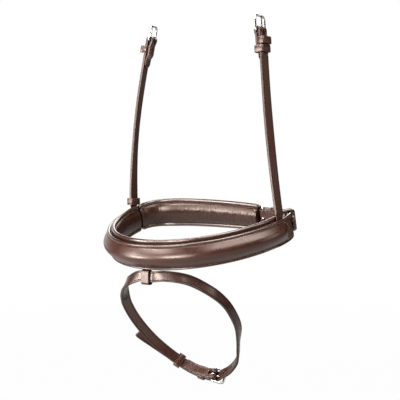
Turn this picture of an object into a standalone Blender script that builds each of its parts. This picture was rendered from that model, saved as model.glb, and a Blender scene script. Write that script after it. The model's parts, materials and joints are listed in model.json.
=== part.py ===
"""Flash noseband: a padded, raised leather noseband with its chin strap and chin pad, two cheek
straps that buckle to a bridle's headpiece, and a flash strap hanging from a loop at the nose.

The origin is midway between the bars of the two cheek buckles, where the headpiece holds the
noseband up. +X is the horse's near (left) side, -Y is the way the nose points and +Z is up.
Sizes below are in millimetres and are turned to metres where the meshes are made.
"""

import math

import bmesh
import bpy
import numpy as np
from mathutils import Vector

MM = 0.001
GAP = 0.3                    # clearance between neighbouring pieces
FACET_DEPTH = 0.12           # how far a facet may cut a corner of the ring

# Plan of the noseband, seen along its own axis: a rounded ring, narrower at the nose
RING_HALF_WIDTH = 113.2
RING_HALF_DEPTH = 76.3
RING_SQUARENESS = 4.8        # third harmonic across, fills the cheeks out
RING_EGG = -15.9             # second harmonic, draws the nose forward and flattens the chin
RING_NOSE_SHAPE = -1.7       # third harmonic fore and aft
RING_ASKEW = 2.9             # the leather hangs a little askew
RING_TILT = math.radians(15.0)   # the nose hangs lower than the chin
RING_ROLL = math.radians(0.5)    # and the near side a touch lower than the off side
RING_SET_BACK = 14.5         # ring centre in front of the hang point
RING_DROP = 229.2            # ring centre below the hang point
RING_ASIDE = 1.2             # and a little to the near side of it
NOSE_MIDDLE = -7.0           # middle of the nosepiece along the ring

# Layers of the nosepiece, outwards from the ring's middle line
BACKING_THICKNESS = 1.6
BACKING_HEIGHT = 27.0
SEAM_SPACE = 2.0             # room between backing and outer leather, where straps are sewn in
PANEL_THICKNESS = 2.0
PANEL_HEIGHT = 29.6
DOME_RISE = 6.4              # how far the raised middle stands out
DOME_HEIGHT = 23.0
DOME_FADE = 20.0             # length over which it rounds off at each end
CORE_HEIGHT = 21.5
CORE_END_LENGTH = 8.0
PANEL_REACH = 200.0          # ends of the outer leather, from the nose middle
PANEL_END_LENGTH = 9.0
BACKING_SHORT = 16.0         # how much sooner the backing ends than the outer leather
BACKING_END_LENGTH = 5.0
DOME_SHORT = 24.0            # how much sooner the raised middle ends
CORE_SHORT = 24.0            # and how much sooner again its felt filling ends

# Padded lining of the nosepiece and the chin pad
LINING_HEIGHT = 34.2
LINING_UP = 1.4              # it shows a little more above the outer leather than below
LINING_EDGE = 4.9            # thickness at the rolled edges
LINING_CROWN = 7.4
LINING_SHORT = 14.0          # how much sooner it ends than the backing
LINING_END_LENGTH = 3.0
LINING_END_SHARE = 0.88       # its height at the very end
PAD_SPACE = 3.0              # between the lining and the chin pad on the off side
PAD_PAST_BAR = 6.0           # its near end lies this far beyond the chin buckle's bar
PAD_CROWN = 9.6
PAD_EDGE = 5.2
PAD_HEIGHT = 37.0
PAD_UP = -0.5
PAD_TAPER = 0.09             # share of its height lost towards its near end
PAD_END_LENGTH = 4.0
PAD_END_SHARE = 0.82

# Cheek straps
CHEEK_WIDTH = 12.7
CHEEK_THICKNESS = 3.3
FOOT_AHEAD = 8.0             # middle of each cheek strap's foot ahead of the chin straps' ends
FOOT_DEPTH = 20.0            # how deep it is sewn in
FOOT_THICKNESS = 1.0         # skived thin between the layers
FOOT_WIDTH = 11.2
FOOT_SEAM = 2.0              # it bends from this far below the outer leather's edge
FOOT_CLEAR = 0.8             # and thickens from this far above it
FOOT_SWELL = 6.0             # length over which it comes to its full size
BAR_HALF_SPACING = 79.4      # the two cheek buckle bars lie this far from the middle
NEAR_BOW = 0.45              # the near strap bows a little inwards
OFF_BOW = -1.2               # the off strap bows outwards, then leans in to its buckle
NEAR_TURNS = (-11.0, -7.0)   # how far each strap's face turns, halfway up and at its buckle
OFF_TURNS = (15.0, 12.0)
CHEEK_STRAIGHT_TOP = 50.0
CHEEK_TAIL = 34.0            # folded-back, stitched end below each buckle bar
CHEEK_TAIL_THICKNESS = 1.8   # skived thin below the fixed keeper
KEEPER_BELOW = 1.5           # it thins from this far below that keeper
CHEEK_TIP_LENGTH = 7.0
CHEEK_BUCKLE_LENGTH = 17.0
CHEEK_FRAME_CORNER = 5.0
CHEEK_FRAME_ROOM = 1.0       # frame's clear width over the strap's
CHEEK_KEEPER_DROP = 8.0      # fixed keeper's upper edge below the bar
RUNNER_SPACE = 0.7           # near runner below the fixed keeper
OFF_RUNNER_RISE = 8.3        # off runner above the nosepiece
BILLET_ROOM = 0.5            # slack in a keeper over the strap end it holds

# Leather keepers
KEEPER_HEIGHT = 8.5
KEEPER_WALL = 1.3
KEEPER_SEWN = 0.8            # a fixed keeper is thin where it is sewn between two layers
KEEPER_CORNER = 1.8

# Buckles
WIRE_RADIUS = 1.35
BAR_RADIUS = 1.2
TONGUE_RADIUS = 1.0
TONGUE_TIP_RADIUS = 0.75
TONGUE_CLEARANCE = 0.25      # between the bar and the wire wrapped round it
TONGUE_PAST_FRAME = 1.6
TONGUE_SLOT = 3.0
SLOT_FRONT = 9.0             # tongue's slot, from the bar into the folded strap
SLOT_BACK = 0.9              # and past the tongue's wrap, through the fold
HOLE_HALF_LENGTH = 4.0       # long hole in a free end
HOLE_ROOM = 0.2
HOLE_SPARE = 0.7             # its cutter stands out this much from each face
FOLD_CLEARANCE = 0.3
FOLD_CLOSING = 8.0           # length over which a folded layer comes to lie on its strap
FRAME_CORNER = 3.0           # chin and flash buckles
FRAME_BEND = 2.0

# Chin strap and the near side's buckle strap
CHIN_WIDTH = 22.0
CHIN_THICKNESS = 3.0
CHIN_SEWN = 6.5              # length of each strap's end between backing and outer leather
SKIVE_LENGTH = 5.0           # length over which it comes to its full thickness
CHIN_BAR_PAST_PANEL = 46.0   # buckle bar beyond the outer leather's near end
CHIN_TAIL_SPACE = 3.0        # the folded layer ends this far from the backing
CHIN_BUCKLE_LENGTH = 15.0
CHIN_FRAME_ROOM = 1.4
CHIN_HOLE_PAST_BAR = 5.4
CHIN_KEEPER_DROP = 16.0      # middle of the fixed keeper from the bar
CHIN_KEEPER_ROOM = 0.7
CHIN_RUNNER_PAST_PANEL = 5.5
CHIN_RUNNER_ROOM = 0.5
CHIN_RUNNER_BELOW = 0.9
CHIN_RUNNER_SLACK = 0.6
CHIN_TIP_ON_PANEL = 8.0      # the free end reaches this far onto the outer leather
CHIN_TIP_LENGTH = 13.0
CHIN_LIFT = 1.5              # it lies a little high where it leaves the nosepiece
CHIN_SAG = 0.8               # and a little low at its buckle
CHIN_SETTLE = 45.0           # it is level again this far beyond the buckle

# A free end threaded through its buckle
THREAD_SPACE = 0.4           # between the free end and the fold that it lies on
THREAD_UNDER = 1.0           # between the free end and the frame's far end above it
THREAD_DIP = 9.0             # length over which it dips towards the frame
THREAD_PAST_ARCH = 0.5
THREAD_ON_FOLD = 4.0
THREAD_LAY = 10.0            # length over which it comes to lie on the strap
CHIN_LAY_SPACE = 0.5         # and its distance from that strap
CHIN_LAY_PANEL = 8.0         # length over which it climbs onto the outer leather
CHIN_CLEAR = 4.0             # beyond the outer leather's off end, where it starts to move
CHIN_SWELL = 12.0            # in to the ring's own line

# Flash strap and its loop on the nosepiece
FLASH_WIDTH = 12.2
FLASH_THICKNESS = 3.0
LOOP_WIDTH = 11.0
LOOP_THICKNESS = 1.6
LOOP_SEWN = 3.2
LOOP_SKIVED = 0.55           # each of its two ends, sewn in under the outer leather
LOOP_HANG = 8.0              # the flash strap's middle below the nosepiece's edge
LOOP_ASIDE = 3.5             # the loop sits a little to the near side
LOOP_ROOM = 0.7              # between its front and the flash strap
LOOP_ROOM_BELOW = 1.7
LOOP_ROOM_ABOVE = 0.6        # its ends come together this far below the outer leather
LOOP_NECK = 0.8
LOOP_NECK_LENGTH = 1.4
LOOP_NECK_DROP = 0.2
LOOP_CORNER = 1.2
FLASH_BAR_AT = 248.0         # buckle bar along the flash strap, from the loop
FLASH_TAIL = 39.0
FLASH_FREE_FROM = 60.0       # beyond here the free end stands away from the strap
FLASH_FREE_OUT = 5.0
FLASH_FREE_DOWN = 7.5
FLASH_BUCKLE_LENGTH = 14.0
FLASH_FRAME_ROOM = 1.8
FLASH_HOLE_PAST_BAR = 5.1
FLASH_KEEPER_DROP = 16.0
FLASH_RUNNER_PAST_TAIL = 9.0
FLASH_RUNNER_ROOM = 1.5
FLASH_RUNNER_BELOW = 0.8
FLASH_RUNNER_ABOVE = 0.3
FLASH_DIP = 0.8              # the free end passes this much lower than the fold's middle
FLASH_LAY_SPACE = 0.4
FLASH_TIP_LENGTH = 3.0
FLASH_TIP_SHARE = 0.75       # of its width, at the cut-off tip
FLASH_FOLD_REACH = 3.6       # its fold reaches round the bar, on the inside of the strap's curve
FLASH_OVERLAP = 106.0        # free end lying over the strap beyond the buckle bar

# The flash strap's hanging shape, from the loop: place, then the way its upper edge faces
FLASH_STATIONS = (
    ((9, 0, 0), (0.00, 0.06, 1.00)),
    ((23, 6, 1), (0.00, 0.25, 0.97)),
    ((44, 19, -3), (0.08, 0.54, 0.83)),
    ((60, 36, -15), (0.11, 0.79, 0.61)),
    ((67, 54, -29), (-0.05, 0.90, 0.43)),
    ((69, 69, -45), (-0.04, 0.87, 0.49)),
    ((66, 85, -64), (-0.04, 0.84, 0.53)),
    ((55, 101, -88), (-0.33, 0.75, 0.57)),
    ((46, 112, -108), (-0.36, 0.68, 0.64)),
    ((30, 116, -124), (-0.25, 0.60, 0.76)),
    ((11, 117, -132), (-0.14, 0.58, 0.80)),
    ((-15, 111, -127), (0.08, 0.58, 0.81)),
    ((-38, 99, -112), (0.25, 0.58, 0.77)),
    ((-56, 81, -90), (0.45, 0.55, 0.70)),
    ((-63, 59, -65), (0.58, 0.60, 0.55)),
    ((-60, 38, -43), (0.62, 0.65, 0.43)),
    ((-54, 26, -30), (0.42, 0.76, 0.50)),
    ((-44, 14, -18), (0.10, 0.78, 0.62)),
    ((-30, 4, -8), (-0.12, 0.48, 0.87)),
    ((-9, 0, 0), (0.00, 0.06, 1.00)),
)

# Spacing of the solids' stations along straps and bands
STRAP_STEP = 8.5
FLASH_STEP = 6.5
BACK_STEP = 6.0
CURVE_STEP = 4.5
TAIL_STEP = 5.0
SEWN_STEP = 3.0
PANEL_STEP = 11.0
BACKING_STEP = 12.0
CUSHION_STEP = 10.0
RIBBON_SPARE = 20.0          # a strap's line runs on past its ends

# Lay-out worked out from the sizes above
BACKING_REACH = PANEL_REACH - BACKING_SHORT
DOME_REACH = PANEL_REACH - DOME_SHORT
CORE_REACH = DOME_REACH - CORE_SHORT
LINING_REACH = BACKING_REACH - LINING_SHORT
PAD_START = LINING_REACH + PAD_SPACE
CHAPE_START = BACKING_REACH - CHIN_SEWN
FOOT_REACH = CHAPE_START - FOOT_AHEAD
CHIN_TAIL_END = BACKING_REACH + CHIN_TAIL_SPACE
CHIN_BAR_REACH = PANEL_REACH + CHIN_BAR_PAST_PANEL
CHIN_TIP_REACH = PANEL_REACH - CHIN_TIP_ON_PANEL
PANEL_INNER = BACKING_THICKNESS + SEAM_SPACE
PANEL_OUTER = PANEL_INNER + PANEL_THICKNESS
SEWN_AT = BACKING_THICKNESS + 0.5 * SEAM_SPACE
SKIVED = SEAM_SPACE - 2.0 * GAP
CHIN_LEVEL = PANEL_INNER - GAP - 0.5 * CHIN_THICKNESS
RING_CENTRE = np.array([RING_ASIDE, -RING_SET_BACK, -RING_DROP])
RING_ACROSS = np.array([math.cos(RING_ROLL), 0.0, -math.sin(RING_ROLL)])
RING_BACK = np.array([math.sin(RING_TILT) * math.sin(RING_ROLL), math.cos(RING_TILT),
                      math.sin(RING_TILT) * math.cos(RING_ROLL)])
RING_UP = np.cross(RING_ACROSS, RING_BACK)

LEATHER = (0.068, 0.036, 0.026, 1.0)
LINING = (0.085, 0.048, 0.036, 1.0)
FELT = (0.45, 0.40, 0.33, 1.0)
STEEL = (0.72, 0.72, 0.73, 1.0)


def unit(vectors):
    """Vectors scaled to length one."""
    vectors = np.asarray(vectors, dtype=float)
    return vectors / np.linalg.norm(vectors, axis=-1, keepdims=True)


def smooth(share):
    """An S-shaped ramp from 0 to 1."""
    share = np.clip(share, 0.0, 1.0)
    return share * share * (3.0 - 2.0 * share)


def clear_scene():
    for obj in list(bpy.data.objects):
        bpy.data.objects.remove(obj, do_unlink=True)


def make_material(name, colour, roughness, metallic=0.0):
    material = bpy.data.materials.new(name)
    material.use_nodes = True
    shader = material.node_tree.nodes["Principled BSDF"]
    shader.inputs["Base Color"].default_value = colour
    shader.inputs["Roughness"].default_value = roughness
    shader.inputs["Metallic"].default_value = metallic
    material.diffuse_color = colour
    return material


def make_object(name, points, faces, finish, origin=(0.0, 0.0, 0.0)):
    """A named mesh object from points in millimetres, with its origin where it hinges."""
    colour, roughness, metallic = finish
    place = Vector(origin)
    mesh = bpy.data.meshes.new(name)
    mesh.from_pydata([(Vector(p) - place) * MM for p in points], [], faces)
    shape = bmesh.new()
    shape.from_mesh(mesh)
    bmesh.ops.recalc_face_normals(shape, faces=shape.faces)
    shape.to_mesh(mesh)
    shape.free()
    mesh.materials.append(make_material(name + "_finish", colour, roughness, metallic))
    mesh.shade_smooth()
    mesh.set_sharp_from_angle(angle=math.radians(40.0))
    obj = bpy.data.objects.new(name, mesh)
    obj.location = place * MM
    bpy.context.collection.objects.link(obj)
    return obj


def loft(name, rings, finish, closed=False, origin=(0.0, 0.0, 0.0)):
    """One skin over rings of points: each ring joined to the next, open ends capped."""
    rings = np.asarray(rings, dtype=float)
    count, around, _ = rings.shape
    faces = []
    for ring in range(count if closed else count - 1):
        following = (ring + 1) % count
        for k in range(around):
            after = (k + 1) % around
            faces.append((ring * around + k, ring * around + after,
                          following * around + after, following * around + k))
    if not closed:
        faces.append(tuple(range(around)))
        faces.append(tuple((count - 1) * around + k for k in reversed(range(around))))
    return make_object(name, rings.reshape(-1, 3).tolist(), faces, finish, origin)


def cut(obj, name, centre, axes, halves):
    """Cut a box-shaped hole, given by its centre, its three axes and half sizes."""
    corners = []
    for a in (-1.0, 1.0):
        for b in (-1.0, 1.0):
            for c in (-1.0, 1.0):
                corner = np.asarray(centre, dtype=float)
                for share, axis, half in zip((a, b, c), axes, halves):
                    corner = corner + share * half * np.asarray(axis)
                corners.append(corner)
    faces = [(0, 1, 3, 2), (4, 6, 7, 5), (0, 4, 5, 1), (2, 3, 7, 6), (0, 2, 6, 4), (1, 5, 7, 3)]
    cutter = make_object(name, corners, faces, (STEEL, 0.5, 0.0))
    cutter.hide_render = True
    cutter.display_type = 'WIRE'
    modifier = obj.modifiers.new(name, 'BOOLEAN')
    modifier.operation = 'DIFFERENCE'
    modifier.solver = 'EXACT'
    modifier.use_self = True
    modifier.object = cutter


class Ribbon:
    """A line in space with the way out of the strap and the way across it at every point."""

    def __init__(self, places, outs, acrosses):
        self.places = np.asarray(places, dtype=float)
        steps = np.linalg.norm(np.diff(self.places, axis=0), axis=1)
        self.along = np.concatenate([[0.0], np.cumsum(steps)])
        ways = unit(np.gradient(self.places, self.along, axis=0))
        acrosses = np.asarray(acrosses, dtype=float)
        acrosses = acrosses - ways * np.sum(acrosses * ways, axis=1, keepdims=True)
        self.acrosses = unit(acrosses)
        outs = np.asarray(outs, dtype=float)
        normals = np.cross(ways, self.acrosses)
        turn = np.sign(np.sum(normals * outs, axis=1, keepdims=True))
        self.outs = unit(normals * turn)

    def read(self, table, at):
        return np.stack([np.interp(at, self.along, table[:, k]) for k in range(3)], axis=-1)

    def frame(self, at):
        """Place, way out, way across and way along."""
        out = unit(self.read(self.outs, at))
        across = unit(self.read(self.acrosses, at))
        along = np.cross(across, out)
        ahead = self.read(self.places, at + 0.5) - self.read(self.places, at - 0.5)
        along = along * np.sign(np.sum(along * ahead, axis=-1, keepdims=True))
        return self.read(self.places, at), out, across, along

    def point(self, at, out):
        place, way_out, _, _ = self.frame(np.asarray(at, dtype=float))
        return place + way_out * out


def ring_tables():
    """Arc length along the ring against its angle, over two turns, from the nose middle."""
    angle = np.linspace(-2.0 * math.pi, 2.0 * math.pi, 2881)
    x = RING_HALF_WIDTH * np.sin(angle) + RING_SQUARENESS * np.sin(3 * angle)
    y = (-RING_HALF_DEPTH * np.cos(angle) + RING_EGG * np.cos(2 * angle)
         + RING_NOSE_SHAPE * np.cos(3 * angle) + RING_ASKEW * np.sin(2 * angle))
    arc = np.concatenate([[0.0], np.cumsum(np.hypot(np.diff(x), np.diff(y)))])
    arc = arc - np.interp(0.0, angle, arc)
    slope_x = np.gradient(x, arc)
    slope_y = np.gradient(y, arc)
    return arc - NOSE_MIDDLE, x, y, slope_y, -slope_x


RING_ARC, RING_X, RING_Y, RING_OUT_X, RING_OUT_Y = ring_tables()
RING_GIRTH = 0.5 * (RING_ARC[-1] - RING_ARC[0])


def ring_point(reach, out, up):
    """A point at a reach along the ring from the nose middle, a way out, and up its axis."""
    reach = np.asarray(reach, dtype=float)
    x = np.interp(reach, RING_ARC, RING_X) + out * np.interp(reach, RING_ARC, RING_OUT_X)
    y = np.interp(reach, RING_ARC, RING_Y) + out * np.interp(reach, RING_ARC, RING_OUT_Y)
    up = np.asarray(up, dtype=float)
    return (RING_CENTRE + x[..., None] * RING_ACROSS + y[..., None] * RING_BACK
            + up[..., None] * RING_UP)


def ring_out(reach):
    """The way out of the ring."""
    x = np.interp(reach, RING_ARC, RING_OUT_X)
    y = np.interp(reach, RING_ARC, RING_OUT_Y)
    return unit(np.asarray(x)[..., None] * RING_ACROSS + np.asarray(y)[..., None] * RING_BACK)


def ring_ribbon(start, end):
    """The ring's middle line as a ribbon, measured from a starting reach."""
    reach = np.linspace(start, end, int(abs(end - start) / 2.0) + 1)
    places = ring_point(reach, 0.0, np.zeros_like(reach))
    return Ribbon(places, ring_out(reach), np.tile(RING_UP, (len(reach), 1)))


def straight(start, end, out_start, out_end, step):
    """Stations of a straight run of strap, first end left out."""
    count = max(1, int(round(abs(end - start) / step)))
    share = np.arange(1, count + 1) / count
    return np.stack([start + (end - start) * share,
                     out_start + (out_end - out_start) * share], axis=-1)


def eased(start, end, out_start, out_end, count):
    """Stations of a run that moves gently from one level to another, first end left out."""
    share = np.arange(1, count + 1) / count
    return np.stack([start + (end - start) * share,
                     out_start + (out_end - out_start) * smooth(share)], axis=-1)


def fold(centre, radius, reach, count=8):
    """Half a turn around a buckle bar, from its outer side to its inner side."""
    angle = np.linspace(0.5 * math.pi, -0.5 * math.pi, count + 1)
    return np.stack([centre[0] + reach * np.cos(angle),
                     centre[1] + radius * np.sin(angle)], axis=-1)


# Across a strap: share of half width, share of half thickness, its corners eased
STRAP_SECTION = np.array([
    (-1.0, -0.45), (-1.0, 0.45), (-0.90, 1.0), (0.90, 1.0),
    (1.0, 0.45), (1.0, -0.45), (0.90, -1.0), (-0.90, -1.0)])


def strap(name, ribbon, path, width, thickness, finish, aside=0.0):
    """A leather strap along a path of (along, out) stations on a ribbon."""
    path = np.asarray(path, dtype=float)
    aside = np.broadcast_to(aside, len(path))
    width = np.broadcast_to(width, len(path))
    thickness = np.broadcast_to(thickness, len(path))
    slope = unit(np.gradient(path, axis=0))
    place, out, across, along = ribbon.frame(path[:, 0])
    centre = place + out * path[:, 1:2] + across * aside[:, None]
    through = along * -slope[:, 1:2] + out * slope[:, 0:1]
    rings = (centre[:, None, :]
             + across[:, None, :] * (STRAP_SECTION[None, :, 0:1] * 0.5 * width[:, None, None])
             + through[:, None, :] * (STRAP_SECTION[None, :, 1:2] * 0.5
                                      * thickness[:, None, None]))
    return loft(name, rings, finish)


def pointed(path, width, length, tip_share=0.30):
    """Strap widths along a path that ends in a rounded point."""
    steps = np.linalg.norm(np.diff(path, axis=0), axis=1)
    left = np.concatenate([np.cumsum(steps[::-1])[::-1], [0.0]])
    share = np.clip(left / length, 0.0, 1.0)
    return width * (tip_share + (1.0 - tip_share) * np.sqrt(share * (2.0 - share)))


def keeper(name, ribbon, at, low, high, strap_width, finish, low_wall=KEEPER_WALL, lift=0.0):
    """A leather keeper: a flat loop round a strap, its hollow from low to high."""
    place, out, across, along = ribbon.frame(at)
    place = place + across * lift
    half = 0.5 * strap_width + GAP
    rings = []
    for outside, end in ((0, -0.5), (1, -0.5), (1, 0.5), (0, 0.5)):
        far = half + KEEPER_WALL * outside
        bottom = low - low_wall * outside
        top = high + KEEPER_WALL * outside
        ease = (0.5 if not outside else KEEPER_CORNER)
        foot = min(ease, 0.4 * (top - bottom))
        outline = [(far - ease, top), (far - 0.3 * ease, top - 0.3 * ease), (far, top - ease),
                   (far, bottom + foot), (far - 0.3 * foot, bottom + 0.3 * foot),
                   (far - foot, bottom)]
        outline += [(-a, b) for a, b in reversed(outline)]
        rings.append([place + across * a + out * b + along * end * KEEPER_HEIGHT
                      for a, b in outline])
    return loft(name, rings, finish, closed=True)


def round_sweep(name, places, radii, way_side, finish, sides=8, closed=False, origin=(0, 0, 0)):
    """A round wire along points that lie in one plane, whose normal is way_side."""
    places = np.asarray(places, dtype=float)
    if closed:
        ahead = unit(np.roll(places, -1, axis=0) - np.roll(places, 1, axis=0))
    else:
        ahead = unit(np.gradient(places, axis=0))
    way_side = unit(way_side)
    inward = np.cross(ahead, way_side)
    turn = np.linspace(0.0, 2.0 * math.pi, sides, endpoint=False) + math.pi / sides
    radii = np.broadcast_to(radii, len(places))
    rings = (places[:, None, :]
             + radii[:, None, None] * (np.cos(turn)[None, :, None] * way_side
                                       + np.sin(turn)[None, :, None] * inward[:, None, :]))
    return loft(name, rings, finish, closed=closed, origin=origin)


def buckle_frame(name, bar, reach, side, clear_width, length, corner, finish):
    """A buckle frame: a bar, two sides and a rounded far end, one bent wire.

    bar is the middle of the bar, reach the way to the far end, side the way along the bar.
    """
    half = 0.5 * clear_width + WIRE_RADIUS
    bend = FRAME_BEND
    points = [(0.0, bend - half), (0.0, 0.0), (0.0, half - bend), (0.3 * bend, half - 0.3 * bend)]
    radii = [BAR_RADIUS, BAR_RADIUS, BAR_RADIUS, WIRE_RADIUS]
    far = length - corner
    for share in (0.25, 0.6, 1.0):
        points.append((bend + (far - bend) * share, half))
    for k in range(1, 5):
        turn = 0.5 * math.pi * k / 4
        points.append((far + corner * math.sin(turn), half - corner + corner * math.cos(turn)))
    mirrored = [(a, -b) for a, b in reversed(points[3:])]
    radii += [WIRE_RADIUS] * (len(points) - len(radii) + len(mirrored))
    places = [np.asarray(bar) + np.asarray(reach) * a + np.asarray(side) * b
              for a, b in points + mirrored]
    return round_sweep(name, places, radii, np.cross(reach, side), finish, closed=True,
                       origin=bar)


def buckle_tongue(name, bar, reach, face, side, length, finish):
    """A tongue: a wire that wraps the bar, then runs out to rest on the frame's far end.

    reach is the way from the bar to the far end, face the frame's outer side.
    """
    wrap = BAR_RADIUS + TONGUE_CLEARANCE + TONGUE_RADIUS
    tip_level = WIRE_RADIUS + GAP + TONGUE_TIP_RADIUS
    places = []
    radii = []
    for turn in np.radians(np.linspace(-20.0, -260.0, 9)):
        places.append((wrap * math.cos(turn), wrap * math.sin(turn)))
        radii.append(TONGUE_RADIUS)
    last = places[-1]
    for share in (0.3, 0.6, 0.85, 1.0):
        places.append((last[0] + (length + TONGUE_PAST_FRAME - last[0]) * share,
                       last[1] + (tip_level - last[1]) * smooth(share)))
        radii.append(TONGUE_RADIUS + (TONGUE_TIP_RADIUS - TONGUE_RADIUS) * share)
    world = [np.asarray(bar) + np.asarray(reach) * a + np.asarray(face) * b for a, b in places]
    return round_sweep(name, world, radii, side, finish, sides=6, origin=bar)


LEATHER_FINISH = (LEATHER, 0.42, 0.0)
LINING_FINISH = (LINING, 0.55, 0.0)
CORE_FINISH = (FELT, 0.95, 0.0)
STEEL_FINISH = (STEEL, 0.18, 1.0)


def dome(up, height):
    """Share of the nosepiece's rise at a height from its middle."""
    share = np.clip(np.abs(up) / (0.5 * height), 0.0, 1.0)
    return (0.5 + 0.5 * np.cos(math.pi * share)) ** 0.8


def dome_along(reach):
    """The raised middle rounds off towards both cheeks."""
    past = np.clip((np.abs(reach) - (DOME_REACH - DOME_FADE)) / DOME_FADE, 0.0, 1.0)
    return np.sqrt(1.0 - past * past)


def end_share(reach, limit, length, least=0.35):
    """Height share near a band's rounded ends."""
    past = np.clip((np.abs(reach) - (limit - length)) / length, 0.0, 1.0)
    return least + (1.0 - least) * np.sqrt(1.0 - past * past)


def ring_reaches(start, end, step):
    """Reaches along the ring, closer together where it curves tightly."""
    reach = np.arange(start, end + 0.01, 0.5)
    turning = np.hypot(np.gradient(np.interp(reach, RING_ARC, RING_OUT_X), reach),
                       np.gradient(np.interp(reach, RING_ARC, RING_OUT_Y), reach))
    spacing = np.minimum(step, np.sqrt(8.0 * FACET_DEPTH / turning))
    passed = np.concatenate([[0.0], np.cumsum(0.5 / spacing[:-1])])
    count = int(math.ceil(passed[-1]))
    return np.interp(np.linspace(0.0, passed[-1], count + 1), passed, reach)


def band_reaches(limit, length, step, middle=0.0):
    """Reaches from end to end of a band, closer together at its rounded ends."""
    inner = limit - length
    run = ring_reaches(middle - inner, middle + inner, step)
    ends = inner + length * np.sin(np.radians((30.0, 60.0, 90.0)))
    return np.concatenate([middle - ends[::-1], run, middle + ends])


def nose_panel():
    """Outer leather of the nosepiece, raised along its middle, its edges rolled."""
    half = 0.5 * PANEL_HEIGHT
    outer_up = np.array([-1.0, -0.93, -0.76, -0.58, -0.38, -0.13, 0.13, 0.38, 0.58, 0.76,
                         0.93, 1.0]) * half
    inner_up = np.array([0.97, 0.60, 0.40, 0.15, -0.15, -0.40, -0.60, -0.97]) * half
    rings = []
    for reach in band_reaches(PANEL_REACH, PANEL_END_LENGTH, PANEL_STEP):
        rise = DOME_RISE * dome_along(reach)
        share = end_share(reach, PANEL_REACH, PANEL_END_LENGTH)
        outer = PANEL_OUTER + rise * dome(outer_up, DOME_HEIGHT)
        outer[[0, -1]] -= 0.7
        inner = PANEL_INNER + rise * dome(inner_up, DOME_HEIGHT - 2.6)
        out = np.concatenate([outer, inner])
        up = np.concatenate([outer_up, inner_up]) * share
        rings.append(ring_point(np.full(len(up), reach), out, up))
    return loft("nose_panel", rings, LEATHER_FINISH)


def nose_core():
    """Felt filling that raises the nosepiece."""
    half = 0.5 * CORE_HEIGHT
    outer_up = np.array([-1.0, -0.80, -0.62, -0.42, -0.15, 0.15, 0.42, 0.62, 0.80, 1.0]) * half
    rings = []
    for reach in band_reaches(CORE_REACH, CORE_END_LENGTH, BACKING_STEP):
        rise = DOME_RISE * dome_along(reach) * end_share(reach, CORE_REACH, CORE_END_LENGTH, 0.2)
        outer = PANEL_INNER - GAP + (rise - 0.2) * dome(outer_up, DOME_HEIGHT - 3.4)
        up = np.concatenate([outer_up, [half, 0.0, -half]])
        out = np.concatenate([outer, np.full(3, BACKING_THICKNESS + GAP)])
        rings.append(ring_point(np.full(len(up), reach), out, up))
    return loft("nose_core", rings, CORE_FINISH)


def nose_backing():
    """Flat leather that the outer leather and the lining are sewn to."""
    half = 0.5 * BACKING_HEIGHT
    rings = []
    for reach in band_reaches(BACKING_REACH, BACKING_END_LENGTH, BACKING_STEP):
        share = end_share(reach, BACKING_REACH, BACKING_END_LENGTH)
        up = np.array([-half, -half, 0.0, half, half, 0.0]) * share
        out = np.array([0.0, 1.0, 1.0, 1.0, 0.0, 0.0]) * BACKING_THICKNESS
        rings.append(ring_point(np.full(len(up), reach), out, up))
    return loft("nose_backing", rings, LEATHER_FINISH)


def cushion_section(height, edge, crown):
    """Across a padded piece: flat back, rolled edges, a seam groove, a crowned face.

    The crown is a parabola between the two seams; each edge is a half-round bead.
    """
    half = 0.5 * height
    bead = 0.5 * (edge - GAP)
    seam = half - 2.2 * bead
    groove = edge - 0.8
    face_up = np.linspace(-seam, seam, 7)
    face_out = -(groove + (crown - groove) * (1.0 - (face_up / seam) ** 2) ** 0.7)
    turns = np.radians((-60.0, 0.0, 60.0))
    bead_out = -(GAP + bead) + bead * np.sin(turns)
    bead_up = half - bead + bead * np.cos(turns)
    out = np.concatenate([[-GAP], bead_out[::-1], face_out[::-1], bead_out, [-GAP]])
    up = np.concatenate([[half - 1.6 * bead], bead_up[::-1], face_up[::-1], -bead_up,
                         [-half + 1.6 * bead]])
    return out, up


def cushion(name, reaches, shares, heights, edge, crown, raised, finish):
    """A padded band along the ring, drawn in at its ends."""
    rings = []
    for reach, share, height in zip(reaches, shares, heights):
        out, up = cushion_section(height, edge, crown)
        thin = -GAP + (out + GAP) * (0.45 + 0.55 * share)
        rings.append(ring_point(np.full(len(up), reach), thin, up * share + raised))
    return loft(name, rings, finish)


def nose_lining():
    reaches = band_reaches(LINING_REACH, LINING_END_LENGTH, CUSHION_STEP)
    shares = end_share(reaches, LINING_REACH, LINING_END_LENGTH, LINING_END_SHARE)
    heights = np.full(len(reaches), LINING_HEIGHT)
    return cushion("nose_lining", reaches, shares, heights, LINING_EDGE, LINING_CROWN,
                   LINING_UP, LINING_FINISH)


def chin_pad():
    length = RING_GIRTH - PAD_START - CHIN_BAR_REACH - PAD_PAST_BAR
    middle = -PAD_START - 0.5 * length
    reaches = band_reaches(0.5 * length, PAD_END_LENGTH, CUSHION_STEP, middle)
    local = reaches - middle
    shares = end_share(local, 0.5 * length, PAD_END_LENGTH, PAD_END_SHARE)
    heights = PAD_HEIGHT * (1.0 - PAD_TAPER * (0.5 - local / length) ** 2.5)
    return cushion("chin_pad", reaches, shares, heights, PAD_EDGE, PAD_CROWN, PAD_UP,
                   LINING_FINISH)


def slot(obj, name, bar, along, out, across, thickness):
    """The tongue's slot through both layers of a folded strap end."""
    depth = BAR_RADIUS + TONGUE_CLEARANCE + 2.0 * TONGUE_RADIUS + SLOT_BACK
    centre = bar + along * 0.5 * (SLOT_FRONT - depth)
    cut(obj, name, centre, (along, out, across),
        (0.5 * (SLOT_FRONT + depth), fold_radius(thickness) + 0.5 * thickness + TONGUE_CLEARANCE,
         0.5 * TONGUE_SLOT))


def fold_radius(thickness):
    return BAR_RADIUS + FOLD_CLEARANCE + 0.5 * thickness


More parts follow.
